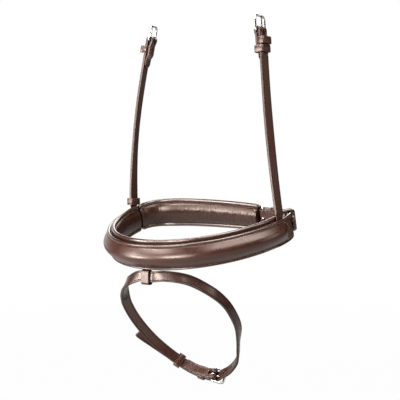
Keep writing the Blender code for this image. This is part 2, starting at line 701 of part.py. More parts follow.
def cheek_ribbon(side, bow, turns):
    """Middle line of a cheek strap from its sewn foot up to its buckle bar, and a bit past."""
    reach = side * FOOT_REACH
    exit_up = 0.5 * PANEL_HEIGHT
    foot_out = ring_out(reach)
    exit_point = ring_point(reach, SEWN_AT - 0.05, exit_up)
    top = np.array([side * (BAR_HALF_SPACING + fold_radius(CHEEK_THICKNESS)), 0.0, 0.0])
    rise = top[2] - exit_point[2]
    straight_from = 1.0 - CHEEK_STRAIGHT_TOP / rise
    share = np.linspace(0.0, 1.0, 25)
    bent = np.minimum(share, straight_from)
    lean = bent + bow * bent * (1.0 - bent)
    lean += (1.0 + bow * (1.0 - 2.0 * straight_from)) * (share - bent)
    lean /= lean[-1]
    x = exit_point[0] + (top[0] - exit_point[0]) * lean
    y = exit_point[1] + (top[1] - exit_point[1]) * share
    z = exit_point[2] + rise * share
    free = np.stack([x, y, z], axis=-1)
    beyond = free[-1] + unit(free[-1] - free[-2]) * FOLD_CLOSING
    start = unit(free[1] - free[0])
    sewn_way = unit(start - foot_out * np.dot(start, foot_out))
    depth = np.linspace(FOOT_DEPTH, FOOT_SEAM, 6)[:, None]
    places = np.concatenate([exit_point - sewn_way * depth, free, [beyond]])
    share = np.concatenate([np.zeros(6), share, [1.0]])
    facing = 0.0 if side > 0 else math.pi
    lower = facing + math.radians(turns[0])
    upper = facing + math.radians(turns[1])
    rest = smooth((share - 0.45) / (straight_from - 0.47))
    turn = lower + (upper - lower) * rest
    face = np.stack([np.cos(turn), np.sin(turn), np.zeros_like(turn)], axis=-1)
    settle = smooth(share / 0.45)[:, None]
    outs = unit(foot_out * (1.0 - settle) + face * settle)
    ways = unit(np.gradient(places, axis=0))
    return Ribbon(places, outs, np.cross(ways, outs))


def sewn_layer(thickness):
    """Level of a folded-back layer with a keeper's thin side sewn between it and the strap."""
    return -(thickness + 2.0 * GAP + KEEPER_SEWN)


def cheek(side_name, side, bow, turns):
    """One cheek strap with its folded end, keepers, buckle frame and tongue."""
    ribbon = cheek_ribbon(side, bow, turns)
    radius = fold_radius(CHEEK_THICKNESS)
    bar_at = ribbon.along[-2]
    exit_at = FOOT_DEPTH
    foot = straight(0.0, exit_at - FOOT_SEAM, 0.0, 0.0, BACK_STEP)
    swell = straight(exit_at - FOOT_SEAM, exit_at + FOOT_SWELL + FOOT_CLEAR, 0.0, 0.0, SEWN_STEP)
    run = straight(exit_at + FOOT_SWELL + FOOT_CLEAR, bar_at, 0.0, 0.0, STRAP_STEP)
    bend = fold((bar_at, -radius), radius, radius)[1:]
    inner = sewn_layer(CHEEK_THICKNESS)
    closing = eased(bar_at, bar_at - FOLD_CLOSING, -2.0 * radius, inner, 3)
    past_keeper = bar_at - CHEEK_KEEPER_DROP - KEEPER_HEIGHT - KEEPER_BELOW
    pressed = -(0.5 * CHEEK_THICKNESS + GAP + 0.5 * CHEEK_TAIL_THICKNESS)
    tail = np.concatenate([
        straight(bar_at - FOLD_CLOSING, past_keeper, inner, inner, STRAP_STEP),
        eased(past_keeper, past_keeper - FOOT_SWELL, inner, pressed, 3),
        straight(past_keeper - FOOT_SWELL, bar_at - CHEEK_TAIL, pressed, pressed, TAIL_STEP)])
    path = np.concatenate([[[0.0, 0.0]], foot, swell, run, bend, closing, tail])
    sewn = 1.0 - smooth((path[:, 0] - exit_at - FOOT_CLEAR) / FOOT_SWELL)
    sewn[len(foot) + len(swell) + 1:] = 0.0
    skived = smooth((past_keeper - path[:, 0]) / FOOT_SWELL)
    skived[:-len(tail)] = 0.0
    thickness = (CHEEK_THICKNESS + (FOOT_THICKNESS - CHEEK_THICKNESS) * sewn
                 + (CHEEK_TAIL_THICKNESS - CHEEK_THICKNESS) * skived)
    width = pointed(path, CHEEK_WIDTH, CHEEK_TIP_LENGTH) - (CHEEK_WIDTH - FOOT_WIDTH) * sewn
    node = strap(side_name + "_cheek_strap", ribbon, path, width, thickness, LEATHER_FINISH)

    _, out, across, along = ribbon.frame(bar_at)
    bar = ribbon.point(bar_at, -radius)
    slot(node, side_name + "_cheek_slot_cutter", bar, along, out, across, CHEEK_THICKNESS)
    buckle_frame(side_name + "_cheek_buckle_frame", bar, along, across,
                 CHEEK_WIDTH + CHEEK_FRAME_ROOM, CHEEK_BUCKLE_LENGTH, CHEEK_FRAME_CORNER,
                 STEEL_FINISH)
    buckle_tongue(side_name + "_cheek_buckle_tongue", bar, along, out, across,
                  CHEEK_BUCKLE_LENGTH, STEEL_FINISH)

    face = 0.5 * CHEEK_THICKNESS
    billet_room = CHEEK_THICKNESS + BILLET_ROOM
    fixed_at = bar_at - CHEEK_KEEPER_DROP - 0.5 * KEEPER_HEIGHT
    keeper(side_name + "_cheek_fixed_keeper", ribbon, fixed_at, -face - GAP,
           face + billet_room, CHEEK_WIDTH, LEATHER_FINISH, KEEPER_SEWN)
    if side > 0:
        runner_at = fixed_at - KEEPER_HEIGHT - RUNNER_SPACE
        low = inner - face - GAP
        high = face + 0.5 * billet_room
    else:
        runner_at = exit_at + OFF_RUNNER_RISE
        low = -face - 0.45 * billet_room
        high = face + 0.5 * billet_room
    keeper(side_name + "_cheek_runner_keeper", ribbon, runner_at, low, high, CHEEK_WIDTH,
           LEATHER_FINISH)


def threaded_levels(thickness, under):
    """Levels, from the bar, of a free end where it lies over the fold, and of the frame's far
    end, which it passes under at its level under."""
    over = BAR_RADIUS + FOLD_CLEARANCE + 1.5 * thickness + THREAD_SPACE
    far_end = under + 0.5 * thickness + THREAD_UNDER + WIRE_RADIUS
    return over, far_end


def buckle_on(name, ribbon, bar_at, bar_out, side, length, far_out, clear_width, lift=0.0):
    """Frame and tongue of a fastened buckle; side is +1 where its far end lies further along."""
    tilt = math.asin(far_out / length)
    _, out, across, along = ribbon.frame(bar_at)
    bar = ribbon.point(bar_at, bar_out) + across * lift
    reach = along * side * math.cos(tilt) + out * math.sin(tilt)
    face = out * math.cos(tilt) - along * side * math.sin(tilt)
    buckle_frame(name + "_buckle_frame", bar, reach, across, clear_width, length, FRAME_CORNER,
                 STEEL_FINISH)
    buckle_tongue(name + "_buckle_tongue", bar, reach, face, across, length, STEEL_FINISH)
    return bar, along * side, out, across


def tongue_hole(obj, name, ribbon, path, at, thickness, lift=0.0):
    """The hole in a free end that the tongue passes, square to the leather there."""
    level = np.interp(at, path[:, 0], path[:, 1])
    rise = np.interp(at + 1.0, path[:, 0], path[:, 1]) - level
    place, out, across, along = ribbon.frame(at)
    way = unit(along + out * rise)
    cut(obj, name, place + out * level + across * lift, (way, np.cross(way, across), across),
        (HOLE_HALF_LENGTH, 0.5 * thickness + HOLE_SPARE, 0.5 * TONGUE_SLOT + HOLE_ROOM))


def chin_lift(reach):
    """How far above the ring's own middle the near side's straps lie."""
    lowered = smooth((reach - PANEL_REACH) / (CHIN_BAR_REACH - PANEL_REACH))
    settled = smooth((reach - CHIN_BAR_REACH) / CHIN_SETTLE)
    return (CHIN_LIFT - (CHIN_LIFT + CHIN_SAG) * lowered) * (1.0 - settled)


def sewn_share(reach):
    """1 where a chin strap end lies skived under the nosepiece, 0 once it is clear."""
    return 1.0 - smooth((reach - BACKING_REACH) / SKIVE_LENGTH)


def chin_fastening():
    """Chin strap, the near side's buckle strap, their buckle and keepers."""
    near_bar = CHIN_BAR_REACH
    level = CHIN_LEVEL
    radius = fold_radius(CHIN_THICKNESS)
    bar_out = level - radius
    lying = 0.5 * CHIN_THICKNESS + GAP
    over, far_end = threaded_levels(CHIN_THICKNESS, lying - bar_out)

    # The buckle strap: sewn under the near end of the nosepiece, folded round the bar
    origin = CHAPE_START - RIBBON_SPARE
    base = ring_ribbon(origin, CHIN_BAR_REACH + RIBBON_SPARE)
    inner = level + sewn_layer(CHIN_THICKNESS)
    sewn_part = straight(CHAPE_START, PANEL_REACH, level, level, SEWN_STEP)
    path = np.concatenate([
        [[CHAPE_START, level]],
        sewn_part,
        straight(PANEL_REACH, near_bar, level, level, CURVE_STEP),
        fold((near_bar, bar_out), radius, radius)[1:],
        eased(near_bar, near_bar - FOLD_CLOSING, level - 2.0 * radius, inner, 3),
        straight(near_bar - FOLD_CLOSING, CHIN_TAIL_END, inner, inner, CURVE_STEP)])
    sewn = sewn_share(path[:, 0])
    sewn[len(sewn_part) + 1:] = 0.0
    thickness = CHIN_THICKNESS + (SKIVED - CHIN_THICKNESS) * sewn
    path[:, 1] += 0.5 * (CHIN_THICKNESS - thickness)
    lift = chin_lift(path[:, 0])
    path[:, 0] -= origin
    chape = strap("chin_buckle_strap", base, path, CHIN_WIDTH, thickness, LEATHER_FINISH, lift)

    # The chin strap: sewn under the off end, round the back, through the buckle
    tip = CHIN_TIP_REACH
    turn = RING_GIRTH
    first = RIBBON_SPARE - CHAPE_START
    base_back = ring_ribbon(first, tip - turn - RIBBON_SPARE)
    over_out = bar_out + over
    beside = level + CHIN_THICKNESS + CHIN_LAY_SPACE
    on_panel = PANEL_OUTER + THREAD_SPACE + 0.5 * CHIN_THICKNESS
    thick_from = -PANEL_REACH - CHIN_CLEAR
    arch = near_bar + CHIN_BUCKLE_LENGTH - THREAD_PAST_ARCH - turn
    past_bar = near_bar + TONGUE_RADIUS - turn
    off_fold = near_bar - THREAD_ON_FOLD - turn
    laid = off_fold - THREAD_LAY
    climb = PANEL_REACH + CHIN_LAY_PANEL - turn
    back = np.concatenate([
        [[-CHAPE_START, level]],
        straight(-CHAPE_START, thick_from, level, level, SEWN_STEP),
        eased(thick_from, thick_from - CHIN_SWELL, level, lying, 2),
        straight(thick_from - CHIN_SWELL, arch, lying, lying, BACK_STEP),
        eased(arch, past_bar, lying, over_out, 5),
        straight(past_bar, off_fold, over_out, over_out, TAIL_STEP),
        eased(off_fold, laid, over_out, beside, 3),
        straight(laid, climb, beside, beside, CURVE_STEP),
        eased(climb, PANEL_REACH - turn, beside, on_panel, 3),
        straight(PANEL_REACH - turn, tip - turn, on_panel, on_panel, SEWN_STEP)])
    sewn = sewn_share(-back[:, 0])
    thickness = CHIN_THICKNESS + (SKIVED - CHIN_THICKNESS) * sewn
    back[:, 1] += 0.5 * (CHIN_THICKNESS - thickness)
    width = pointed(back, CHIN_WIDTH, CHIN_TIP_LENGTH)
    lift = np.where(back[:, 0] < -0.5 * turn, chin_lift(back[:, 0] + turn), 0.0)
    back[:, 0] = first - back[:, 0]
    strap_node = strap("chin_strap", base_back, back, width, thickness, LEATHER_FINISH, lift)

    bar, along, out, across = buckle_on(
        "chin", base, near_bar - origin, bar_out, 1.0, CHIN_BUCKLE_LENGTH, far_end,
        CHIN_WIDTH + CHIN_FRAME_ROOM, -CHIN_SAG)
    slot(chape, "chin_slot_cutter", bar, along, out, across, CHIN_THICKNESS)
    hole_at = first - near_bar - CHIN_HOLE_PAST_BAR + turn
    tongue_hole(strap_node, "chin_hole_cutter", base_back, back, hole_at, CHIN_THICKNESS,
                -CHIN_SAG)

    low = level - 0.5 * CHIN_THICKNESS - GAP
    high = beside + 0.5 * CHIN_THICKNESS + BILLET_ROOM
    fixed_at = near_bar - CHIN_KEEPER_DROP
    keeper("chin_fixed_keeper", base, fixed_at - origin, low, high,
           CHIN_WIDTH + CHIN_KEEPER_ROOM, LEATHER_FINISH, KEEPER_SEWN,
           lift=float(chin_lift(fixed_at)))
    runner_at = PANEL_REACH + CHIN_RUNNER_PAST_PANEL
    keeper("chin_runner_keeper", base, runner_at - origin,
           inner - 0.5 * CHIN_THICKNESS - CHIN_RUNNER_BELOW,
           on_panel + 0.5 * CHIN_THICKNESS + CHIN_RUNNER_SLACK, CHIN_WIDTH + CHIN_RUNNER_ROOM,
           LEATHER_FINISH, lift=float(chin_lift(runner_at)))


def loop_centre():
    """Where the flash strap passes under the nosepiece."""
    edge = ring_point(LOOP_ASIDE, SEWN_AT, -0.5 * PANEL_HEIGHT)
    return edge + np.array([0.0, 0.0, -LOOP_HANG])


def flash_ribbon():
    """The flash strap's closed middle line from the loop round and past the loop again."""
    centre = loop_centre()
    places = np.array([place for place, _ in FLASH_STATIONS], dtype=float)
    edges = unit(np.array([edge for _, edge in FLASH_STATIONS], dtype=float))
    count = len(places)
    table = []
    for lap in range(2):
        for k in range(count):
            before, here, after, later = ((k - 1) % count, k, (k + 1) % count, (k + 2) % count)
            straight_loop = here == count - 1
            for share in np.arange(0.0, 1.0, 0.1):
                cubic = 0.5 * np.array([
                    -share + 2 * share ** 2 - share ** 3,
                    2 - 5 * share ** 2 + 3 * share ** 3,
                    share + 4 * share ** 2 - 3 * share ** 3,
                    -share ** 2 + share ** 3])
                corners = [before, here, after, later]
                place = cubic @ places[corners]
                if straight_loop:
                    place = places[here] + (places[after] - places[here]) * share
                edge = (1.0 - smooth(share)) * edges[here] + smooth(share) * edges[after]
                table.append((lap, *place, *edge))
    table = np.array(table)
    half_turn = (count - 1) * 10 + 5
    table = np.roll(table, -half_turn, axis=0)[:, 1:]
    points = centre + table[:, :3]
    middle = centre + places.mean(axis=0)
    ways = unit(np.gradient(points, axis=0))
    across = unit(table[:, 3:] - ways * np.sum(table[:, 3:] * ways, axis=1, keepdims=True))
    outs = np.cross(ways, across)
    outs = outs * np.sign(np.sum(outs * (points - middle), axis=1).sum())
    return Ribbon(points, outs, across)


def flash():
    """The flash strap with its buckle and keepers, and the loop that carries it."""
    ribbon = flash_ribbon()
    lap = 0.5 * (ribbon.along[-1] + np.linalg.norm(ribbon.places[0] - ribbon.places[-1]))
    bar_at = FLASH_BAR_AT
    radius = fold_radius(FLASH_THICKNESS)
    under = radius - FLASH_DIP
    over, far_end = threaded_levels(FLASH_THICKNESS, under)
    bar_out = -radius
    inner = sewn_layer(FLASH_THICKNESS)
    beside = FLASH_THICKNESS + FLASH_LAY_SPACE
    again = lap + bar_at
    end = again + FLASH_OVERLAP
    free = again + FLASH_FREE_FROM
    arch = again - FLASH_BUCKLE_LENGTH + THREAD_PAST_ARCH
    off_fold = again + THREAD_ON_FOLD
    laid = off_fold + THREAD_LAY
    path = np.concatenate([
        [[bar_at + FLASH_TAIL, inner]],
        straight(bar_at + FLASH_TAIL, bar_at + FOLD_CLOSING, inner, inner, FLASH_STEP),
        eased(bar_at + FOLD_CLOSING, bar_at, inner, -2.0 * radius, 3),
        fold((bar_at, bar_out), radius, -FLASH_FOLD_REACH)[::-1][1:],
        straight(bar_at, arch - THREAD_DIP, 0.0, 0.0, FLASH_STEP),
        eased(arch - THREAD_DIP, arch, 0.0, bar_out + under, 2),
        eased(arch, again - TONGUE_RADIUS, bar_out + under, bar_out + over, 5),
        straight(again - TONGUE_RADIUS, off_fold, bar_out + over, bar_out + over, TAIL_STEP),
        eased(off_fold, laid, bar_out + over, beside, 3),
        straight(laid, end, beside, beside, FLASH_STEP)])
    loose = np.clip((path[:, 0] - free) / (end - free), 0.0, 1.0) ** 1.6
    path[:, 1] += FLASH_FREE_OUT * loose
    width = pointed(path, FLASH_WIDTH, FLASH_TIP_LENGTH, FLASH_TIP_SHARE)
    node = strap("flash_strap", ribbon, path, width, FLASH_THICKNESS, LEATHER_FINISH,
                 -FLASH_FREE_DOWN * loose)
    bar, along, out, across = buckle_on(
        "flash", ribbon, bar_at, bar_out, -1.0, FLASH_BUCKLE_LENGTH, far_end,
        FLASH_WIDTH + FLASH_FRAME_ROOM)
    slot(node, "flash_slot_cutter", bar, along, out, across, FLASH_THICKNESS)
    second = path[path[:, 0] > lap]
    tongue_hole(node, "flash_hole_cutter", ribbon, second, again - FLASH_HOLE_PAST_BAR,
                FLASH_THICKNESS)
    high = beside + 0.5 * FLASH_THICKNESS + BILLET_ROOM
    keeper("flash_fixed_keeper", ribbon, bar_at + FLASH_KEEPER_DROP,
           -0.5 * FLASH_THICKNESS - GAP, high, FLASH_WIDTH, LEATHER_FINISH, KEEPER_SEWN)
    keeper("flash_runner_keeper", ribbon, bar_at + FLASH_TAIL + FLASH_RUNNER_PAST_TAIL,
           -0.5 * FLASH_THICKNESS - FLASH_RUNNER_BELOW, high + FLASH_RUNNER_ABOVE,
           FLASH_WIDTH + FLASH_RUNNER_ROOM, LEATHER_FINISH)


def flash_loop():
    """A leather loop that carries the flash strap, both ends sewn in under the nosepiece."""
    centre = loop_centre()
    front = 0.5 * FLASH_THICKNESS + LOOP_ROOM + 0.5 * LOOP_THICKNESS
    top = 0.5 * FLASH_WIDTH - LOOP_NECK_DROP
    bottom = 0.5 * FLASH_WIDTH + LOOP_ROOM_BELOW + 0.5 * LOOP_THICKNESS
    corner = LOOP_CORNER
    layer = 0.5 * (LOOP_SKIVED + GAP)
    edge = 0.5 * PANEL_HEIGHT
    path = []
    thickness = []
    for up, thick in ((LOOP_SEWN - edge, LOOP_SKIVED), (-edge - LOOP_ROOM_ABOVE, LOOP_SKIVED)):
        path.append(ring_point(LOOP_ASIDE, SEWN_AT + layer, up))
        thickness.append(thick)
    for y, z, thick in ((-front, top, LOOP_NECK), (-front, top - LOOP_NECK_LENGTH, LOOP_THICKNESS),
                        (-front, 0.0, LOOP_THICKNESS), (-front, corner - bottom, LOOP_THICKNESS),
                        (0.33 * corner - front, 0.33 * corner - bottom, LOOP_THICKNESS),
                        (corner - front, -bottom, LOOP_THICKNESS)):
        path.append(centre + np.array([0.0, y, z]))
        thickness.append(thick)
    path = np.array(path)
    mirrored = path[:1:-1].copy()
    mirrored[:, 1] = 2.0 * centre[1] - mirrored[:, 1]
    tabs = [ring_point(LOOP_ASIDE, SEWN_AT - layer, up)
            for up in (-edge - LOOP_ROOM_ABOVE, LOOP_SEWN - edge)]
    path = np.concatenate([path, mirrored, tabs])
    thickness = np.array(thickness + thickness[::-1])
    ahead = unit(np.gradient(path, axis=0))
    through = np.cross(ahead, np.array([1.0, 0.0, 0.0])) * 0.5 * thickness[:, None]
    side = np.array([0.5 * LOOP_WIDTH, 0.0, 0.0])
    rings = np.stack([path + side + through, path + side - through,
                      path - side - through, path - side + through], axis=1)
    return loft("flash_loop", rings, LEATHER_FINISH)


def main():
    clear_scene()
    nose_panel()
    nose_core()
    nose_backing()
    nose_lining()
    chin_pad()
    chin_fastening()
    cheek("near", 1.0, NEAR_BOW, NEAR_TURNS)
    cheek("off", -1.0, OFF_BOW, OFF_TURNS)
    flash_loop()
    flash()
    bpy.context.view_layer.update()


main()
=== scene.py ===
"""Looks of the flash noseband: waxed bridle leather, soft lining leather, thread and nickel.

Every piece is a surface worked out with numpy on a grid. A strap is a profile carried along its
own folded path, and a band of the nosepiece is a profile carried round the ring. Sizes are in
millimetres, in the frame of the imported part: the hang point between the two cheek buckles is the
origin, +X the horse's near side, -Y the way the nose points, +Z up.
"""

import json
import math

import bpy
import numpy as np
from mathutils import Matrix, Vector

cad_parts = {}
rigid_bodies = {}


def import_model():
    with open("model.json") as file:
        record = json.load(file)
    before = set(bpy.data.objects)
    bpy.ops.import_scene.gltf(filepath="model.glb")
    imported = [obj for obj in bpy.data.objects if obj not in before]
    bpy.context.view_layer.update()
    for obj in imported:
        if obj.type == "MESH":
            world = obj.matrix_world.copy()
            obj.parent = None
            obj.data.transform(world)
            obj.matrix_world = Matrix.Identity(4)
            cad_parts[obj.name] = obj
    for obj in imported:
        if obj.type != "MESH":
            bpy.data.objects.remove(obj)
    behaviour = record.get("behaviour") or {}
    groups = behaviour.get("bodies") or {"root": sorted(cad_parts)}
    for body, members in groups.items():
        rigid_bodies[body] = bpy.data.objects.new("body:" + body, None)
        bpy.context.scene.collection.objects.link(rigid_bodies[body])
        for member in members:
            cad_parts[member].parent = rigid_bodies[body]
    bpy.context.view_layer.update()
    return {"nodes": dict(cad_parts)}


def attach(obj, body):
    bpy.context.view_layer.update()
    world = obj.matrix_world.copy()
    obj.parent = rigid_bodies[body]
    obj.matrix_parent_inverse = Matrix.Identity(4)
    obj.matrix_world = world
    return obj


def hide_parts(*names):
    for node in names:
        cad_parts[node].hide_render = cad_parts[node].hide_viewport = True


MM = 0.001
GAP = 0.3

# Plan of the noseband along its own axis, as in the part
RING_HALF_WIDTH = 113.2
RING_HALF_DEPTH = 76.3
RING_SQUARENESS = 4.8
RING_EGG = -15.9
RING_NOSE_SHAPE = -1.7
RING_ASKEW = 2.9
RING_TILT = math.radians(15.0)
RING_ROLL = math.radians(0.5)
RING_CENTRE = np.array([1.2, -14.5, -229.2])
NOSE_MIDDLE = -7.0
RING_ACROSS = np.array([math.cos(RING_ROLL), 0.0, -math.sin(RING_ROLL)])
RING_BACK = np.array([math.sin(RING_TILT) * math.sin(RING_ROLL), math.cos(RING_TILT),
                      math.sin(RING_TILT) * math.cos(RING_ROLL)])
RING_UP = np.cross(RING_ACROSS, RING_BACK)

# Layers of the nosepiece, outwards from the ring's middle line
BACKING_THICKNESS = 1.6
BACKING_HEIGHT = 27.0
SEAM_SPACE = 2.0
PANEL_THICKNESS = 2.0
PANEL_HEIGHT = 29.6
PANEL_INNER = BACKING_THICKNESS + SEAM_SPACE
PANEL_OUTER = PANEL_INNER + PANEL_THICKNESS
DOME_RISE = 6.4
DOME_HEIGHT = 23.0
DOME_REACH = 176.0
DOME_FADE = 20.0
DOME_FILL = 0.56              # power that fills out the rise's raised cosine
DOME_BACK_HEIGHT = DOME_HEIGHT - 2.6
PANEL_REACH = 200.0
PANEL_END_LENGTH = 9.0
PANEL_CLOSED = 0.04           # share of its section left at its very ends
PANEL_BACK_UPS = (12.4, 12.1, 10.0, 8.0, 5.0, 2.0)
BACKING_REACH = 184.0
BACKING_END_LENGTH = 5.0

# Padded lining and chin pad
LINING_HEIGHT = 34.2
LINING_UP = 1.4
LINING_EDGE = 4.9
LINING_CROWN = 7.4
LINING_REACH = 170.0
LINING_END_LENGTH = 3.0
LINING_END_SHARE = 0.88
LINING_CREASE = 0.07
PAD_START = 173.0
PAD_LENGTH = 181.5
PAD_CROWN = 9.6
PAD_EDGE = 5.2
PAD_HEIGHT = 37.0
PAD_UP = -0.5
PAD_TAPER = 0.09
PAD_END_LENGTH = 4.0
PAD_END_SHARE = 0.82
PAD_BLEND = 55.0              # over which its off end comes in to the lining's own section
PAD_NEAR_CREASE = 0.16        # how much more it creases at its near end
CROWN_FILL = 0.7              # power that fills out a pad's crown
BEAD_TURNS = np.linspace(-2.35, 1.45, 15)   # radians round it, from the valley to the back
BEADS_TO_SEAM = 2.2           # from a pad's edge to its seam, in radii of its bead
BEADS_TO_BACK = 1.6           # from a pad's edge to its flat back, in the same radii
SEAM_DEPTH = 0.8
SEAM_STITCH_OUT = 0.05
PAD_THINNEST = 0.45           # share of a pad's thickness where its height would come to nothing

# Cheek straps
CHEEK_WIDTH = 12.7
CHEEK_THICKNESS = 3.3
FOOT_REACH = 169.5
FOOT_DEPTH = 20.0
FOOT_THICKNESS = 1.0
FOOT_WIDTH = 11.2
FOOT_CLEAR = 0.8
BAR_HALF_SPACING = 79.4
CHEEK_STRAIGHT_TOP = 50.0
CHEEK_TURN_FROM = 0.45        # share of its height where it has turned away from the ring
CHEEK_TURN_SPARE = 0.02       # and stops turning this much below its straight top
CHEEK_PAST_BAR = 8.0
CHEEK_TAIL = 34.0
CHEEK_TAIL_THICKNESS = 1.8
CHEEK_TIP = 7.0
CHEEK_BUCKLE_LENGTH = 17.0
CHEEK_BUCKLE_ROOM = 1.0
CHEEK_BUCKLE_CORNER = 5.0
BILLET_ROOM = CHEEK_THICKNESS + 0.5
SKIVE_RUN = 6.0
CHEEK_KEEPER_DROP = 8.0

# Keepers and buckles
KEEPER_HEIGHT = 8.5
KEEPER_WALL = 1.3
KEEPER_SEWN = 0.8
KEEPER_CLEAR = 1.5            # from a sewn keeper to where the layer under it is let down
WIRE_RADIUS = 1.35
BAR_RADIUS = 1.2
TONGUE_RADIUS = 1.0
TONGUE_TIP_RADIUS = 0.75
TONGUE_CLEARANCE = 0.25
TONGUE_WRAP = (-20.0, -262.0)  # degrees round the bar
TONGUE_PAST = 1.6             # how far its tip reaches past the middle of the frame's far end
TONGUE_SLOT = 3.0
FOLD_CLEARANCE = 0.3

# Folded ends and punched holes
FOLD_POINTS = 25
FOLD_EASE = 8.0               # over which a folded end comes in to its strap
SLOT_PAST_FOLD = 5.0          # how far the tongue's slot goes on past the bend
HOLE_HALF = 0.5 * TONGUE_SLOT + 0.05
HOLE_IN_USE = 4.0             # half the length of the hole that the tongue goes through
HOLE_SPACING = 13.0
HOLE_LEAST = 0.30             # share of its width left where a hole's round end closes

# A free end through its buckle: where it starts to rise past the far end, is up over the bar,
# starts down past the bar, and lies on its strap again
PAST_FAR_END = 0.5
BEFORE_BAR = 1.0
PAST_BAR = 4.0
LIES_AGAIN = 14.0

# Chin strap and the near side's buckle strap
CHIN_WIDTH = 22.0
CHIN_THICKNESS = 3.0
CHAPE_START = 177.5
CHIN_BAR_REACH = 246.0
CHIN_TAIL_END = 187.0
CHIN_BUCKLE_LENGTH = 15.0
CHIN_TIP_REACH = 192.0
CHIN_LIFT = 1.5
CHIN_SAG = 0.8
CHIN_TIP = 13.0
CHIN_BUCKLE_ROOM = 1.4
CHIN_BUCKLE_CORNER = 3.0
CHIN_HOLE_AT = 5.4            # from the bar to the middle of the hole in use
CHIN_OFF_EASE = (4.0, 16.0)   # past the nosepiece, where the strap comes in to lie on the pad
CHIN_STEP_UP = 8.0            # over which the free end climbs on to the nosepiece
CHIN_ROW_PAST = 15.0          # past the nosepiece, where the runner keeper has been cleared
CHIN_TAIL_ROW = (9.0, 32.0)   # bare leather at either end of the folded tail's rows
CHIN_OFF_ROW = (27.0, 60.0)   # where the rows at its off end start and stop
CHIN_FIXED_KEEPER = 16.0      # from the bar
CHIN_RUNNER_KEEPER = 5.5      # from the nosepiece's end
CHIN_SETTLE = 45.0            # past the bar, over which its lift and sag fade
CHIN_SKIVE_RUN = 5.0
RIBBON_SPARE = 20.0           # line laid past a strap's own end
CHIN_LEVEL = PANEL_INNER - GAP - 0.5 * CHIN_THICKNESS
SEWN_AT = BACKING_THICKNESS + 0.5 * SEAM_SPACE
SKIVED = SEAM_SPACE - 2.0 * GAP

# Flash strap and the loop that carries it
FLASH_WIDTH = 12.2
FLASH_THICKNESS = 3.0
LOOP_WIDTH = 11.0
LOOP_THICKNESS = 1.6
LOOP_SEWN = 3.2
LOOP_SKIVED = 0.55
LOOP_HANG = 8.0
LOOP_ASIDE = 3.5
FLASH_BAR_AT = 248.0
FLASH_TAIL = 39.0
FLASH_FREE_FROM = 60.0
FLASH_FREE_OUT = 5.0
FLASH_FREE_DOWN = 7.5
FLASH_BUCKLE_LENGTH = 14.0
FLASH_FOLD_REACH = 3.6
FLASH_OVERLAP = 106.0
FLASH_TIP = 3.0
FLASH_TIP_SHARE = 0.75
FLASH_BUCKLE_ROOM = 1.8
FLASH_BUCKLE_CORNER = 3.0
FLASH_HOLE_AT = 5.1           # from the bar to the middle of the hole in use
FLASH_RISE = 9.0              # over which the free end rises to the buckle's far end
FLASH_FIXED_KEEPER = 16.0     # from the bar
FLASH_RUNNER_KEEPER = 9.0     # from the end of the folded tail
FLASH_LOOSE_POWER = 1.6       # how its free end bends away from the hoop
FLASH_STATIONS = (
    ((9, 0, 0), (0.00, 0.06, 1.00)),
    ((23, 6, 1), (0.00, 0.25, 0.97)),
    ((44, 19, -3), (0.08, 0.54, 0.83)),
    ((60, 36, -15), (0.11, 0.79, 0.61)),
    ((67, 54, -29), (-0.05, 0.90, 0.43)),
    ((69, 69, -45), (-0.04, 0.87, 0.49)),
    ((66, 85, -64), (-0.04, 0.84, 0.53)),
    ((55, 101, -88), (-0.33, 0.75, 0.57)),
    ((46, 112, -108), (-0.36, 0.68, 0.64)),
    ((30, 116, -124), (-0.25, 0.60, 0.76)),
    ((11, 117, -132), (-0.14, 0.58, 0.80)),
    ((-15, 111, -127), (0.08, 0.58, 0.81)),
    ((-38, 99, -112), (0.25, 0.58, 0.77)),
    ((-56, 81, -90), (0.45, 0.55, 0.70)),
    ((-63, 59, -65), (0.58, 0.60, 0.55)),
    ((-60, 38, -43), (0.62, 0.65, 0.43)),
    ((-54, 26, -30), (0.42, 0.76, 0.50)),
    ((-44, 14, -18), (0.10, 0.78, 0.62)),
    ((-30, 4, -8), (-0.12, 0.48, 0.87)),
    ((-9, 0, 0), (0.00, 0.06, 1.00)),
)
CURVE_STEPS = 10

# Stitching and tooling, as on hand-made bridlework
STITCH_PITCH = 2.4
STITCH_LENGTH = 1.75
THREAD_RADIUS = 0.44
STITCH_FROM_EDGE = 2.1
STITCH_ARCH = 0.30
STITCH_SUNK = 0.14
STITCH_SLANT = 0.14
THREAD_SIDES = 6
ROW_STOP = 4.0                # rows of stitches stop this far from a fold or an end
TAIL_STOP = 3.0               # and this far from the end of the folded tail
CREASE_FROM_EDGE = 1.9
CREASE_DEPTH = 0.24
CREASE_HALF = 0.32
CREASE_FULL_HALF = 1.2        # half thickness of leather that takes the full crease
SLOT_RIM = 0.9
ROW_APART = 0.35              # least distance of a strap's grid rows from a hole's own
EDGE_INSETS = np.array([0.55, 0.28, 0.08, 0.0])
EDGE_SHARES = (0.97, 0.86, 0.62, 0.30)
PANEL_STITCH_UP = 12.0
PANEL_ROW_STOP = 7.0
END_ROW_AT = DOME_REACH - 6.0
END_ROW_BULGE = 10.0
END_ROW_UP = PANEL_STITCH_UP - 1.5
LINING_ROW_STOP = 8.0
CHANNEL_WIDTH = 0.8
CHANNEL_DEPTH = 0.85
CHANNEL_COLUMNS = np.array([-1.0, -0.7, -0.35, 0.0, 0.3])
PANEL_ROLL_TOP = 5.8          # the outer leather's rolled edge stands a touch proud
PANEL_ROLL_BACK = 1.75        # and comes down on the backing
PANEL_ROLL_END = 156.0        # up to where the cheek straps are sewn in
PANEL_ROLL_FADE = 5.0
STATION_STEP = 1.5
PATH_STEP = 0.8

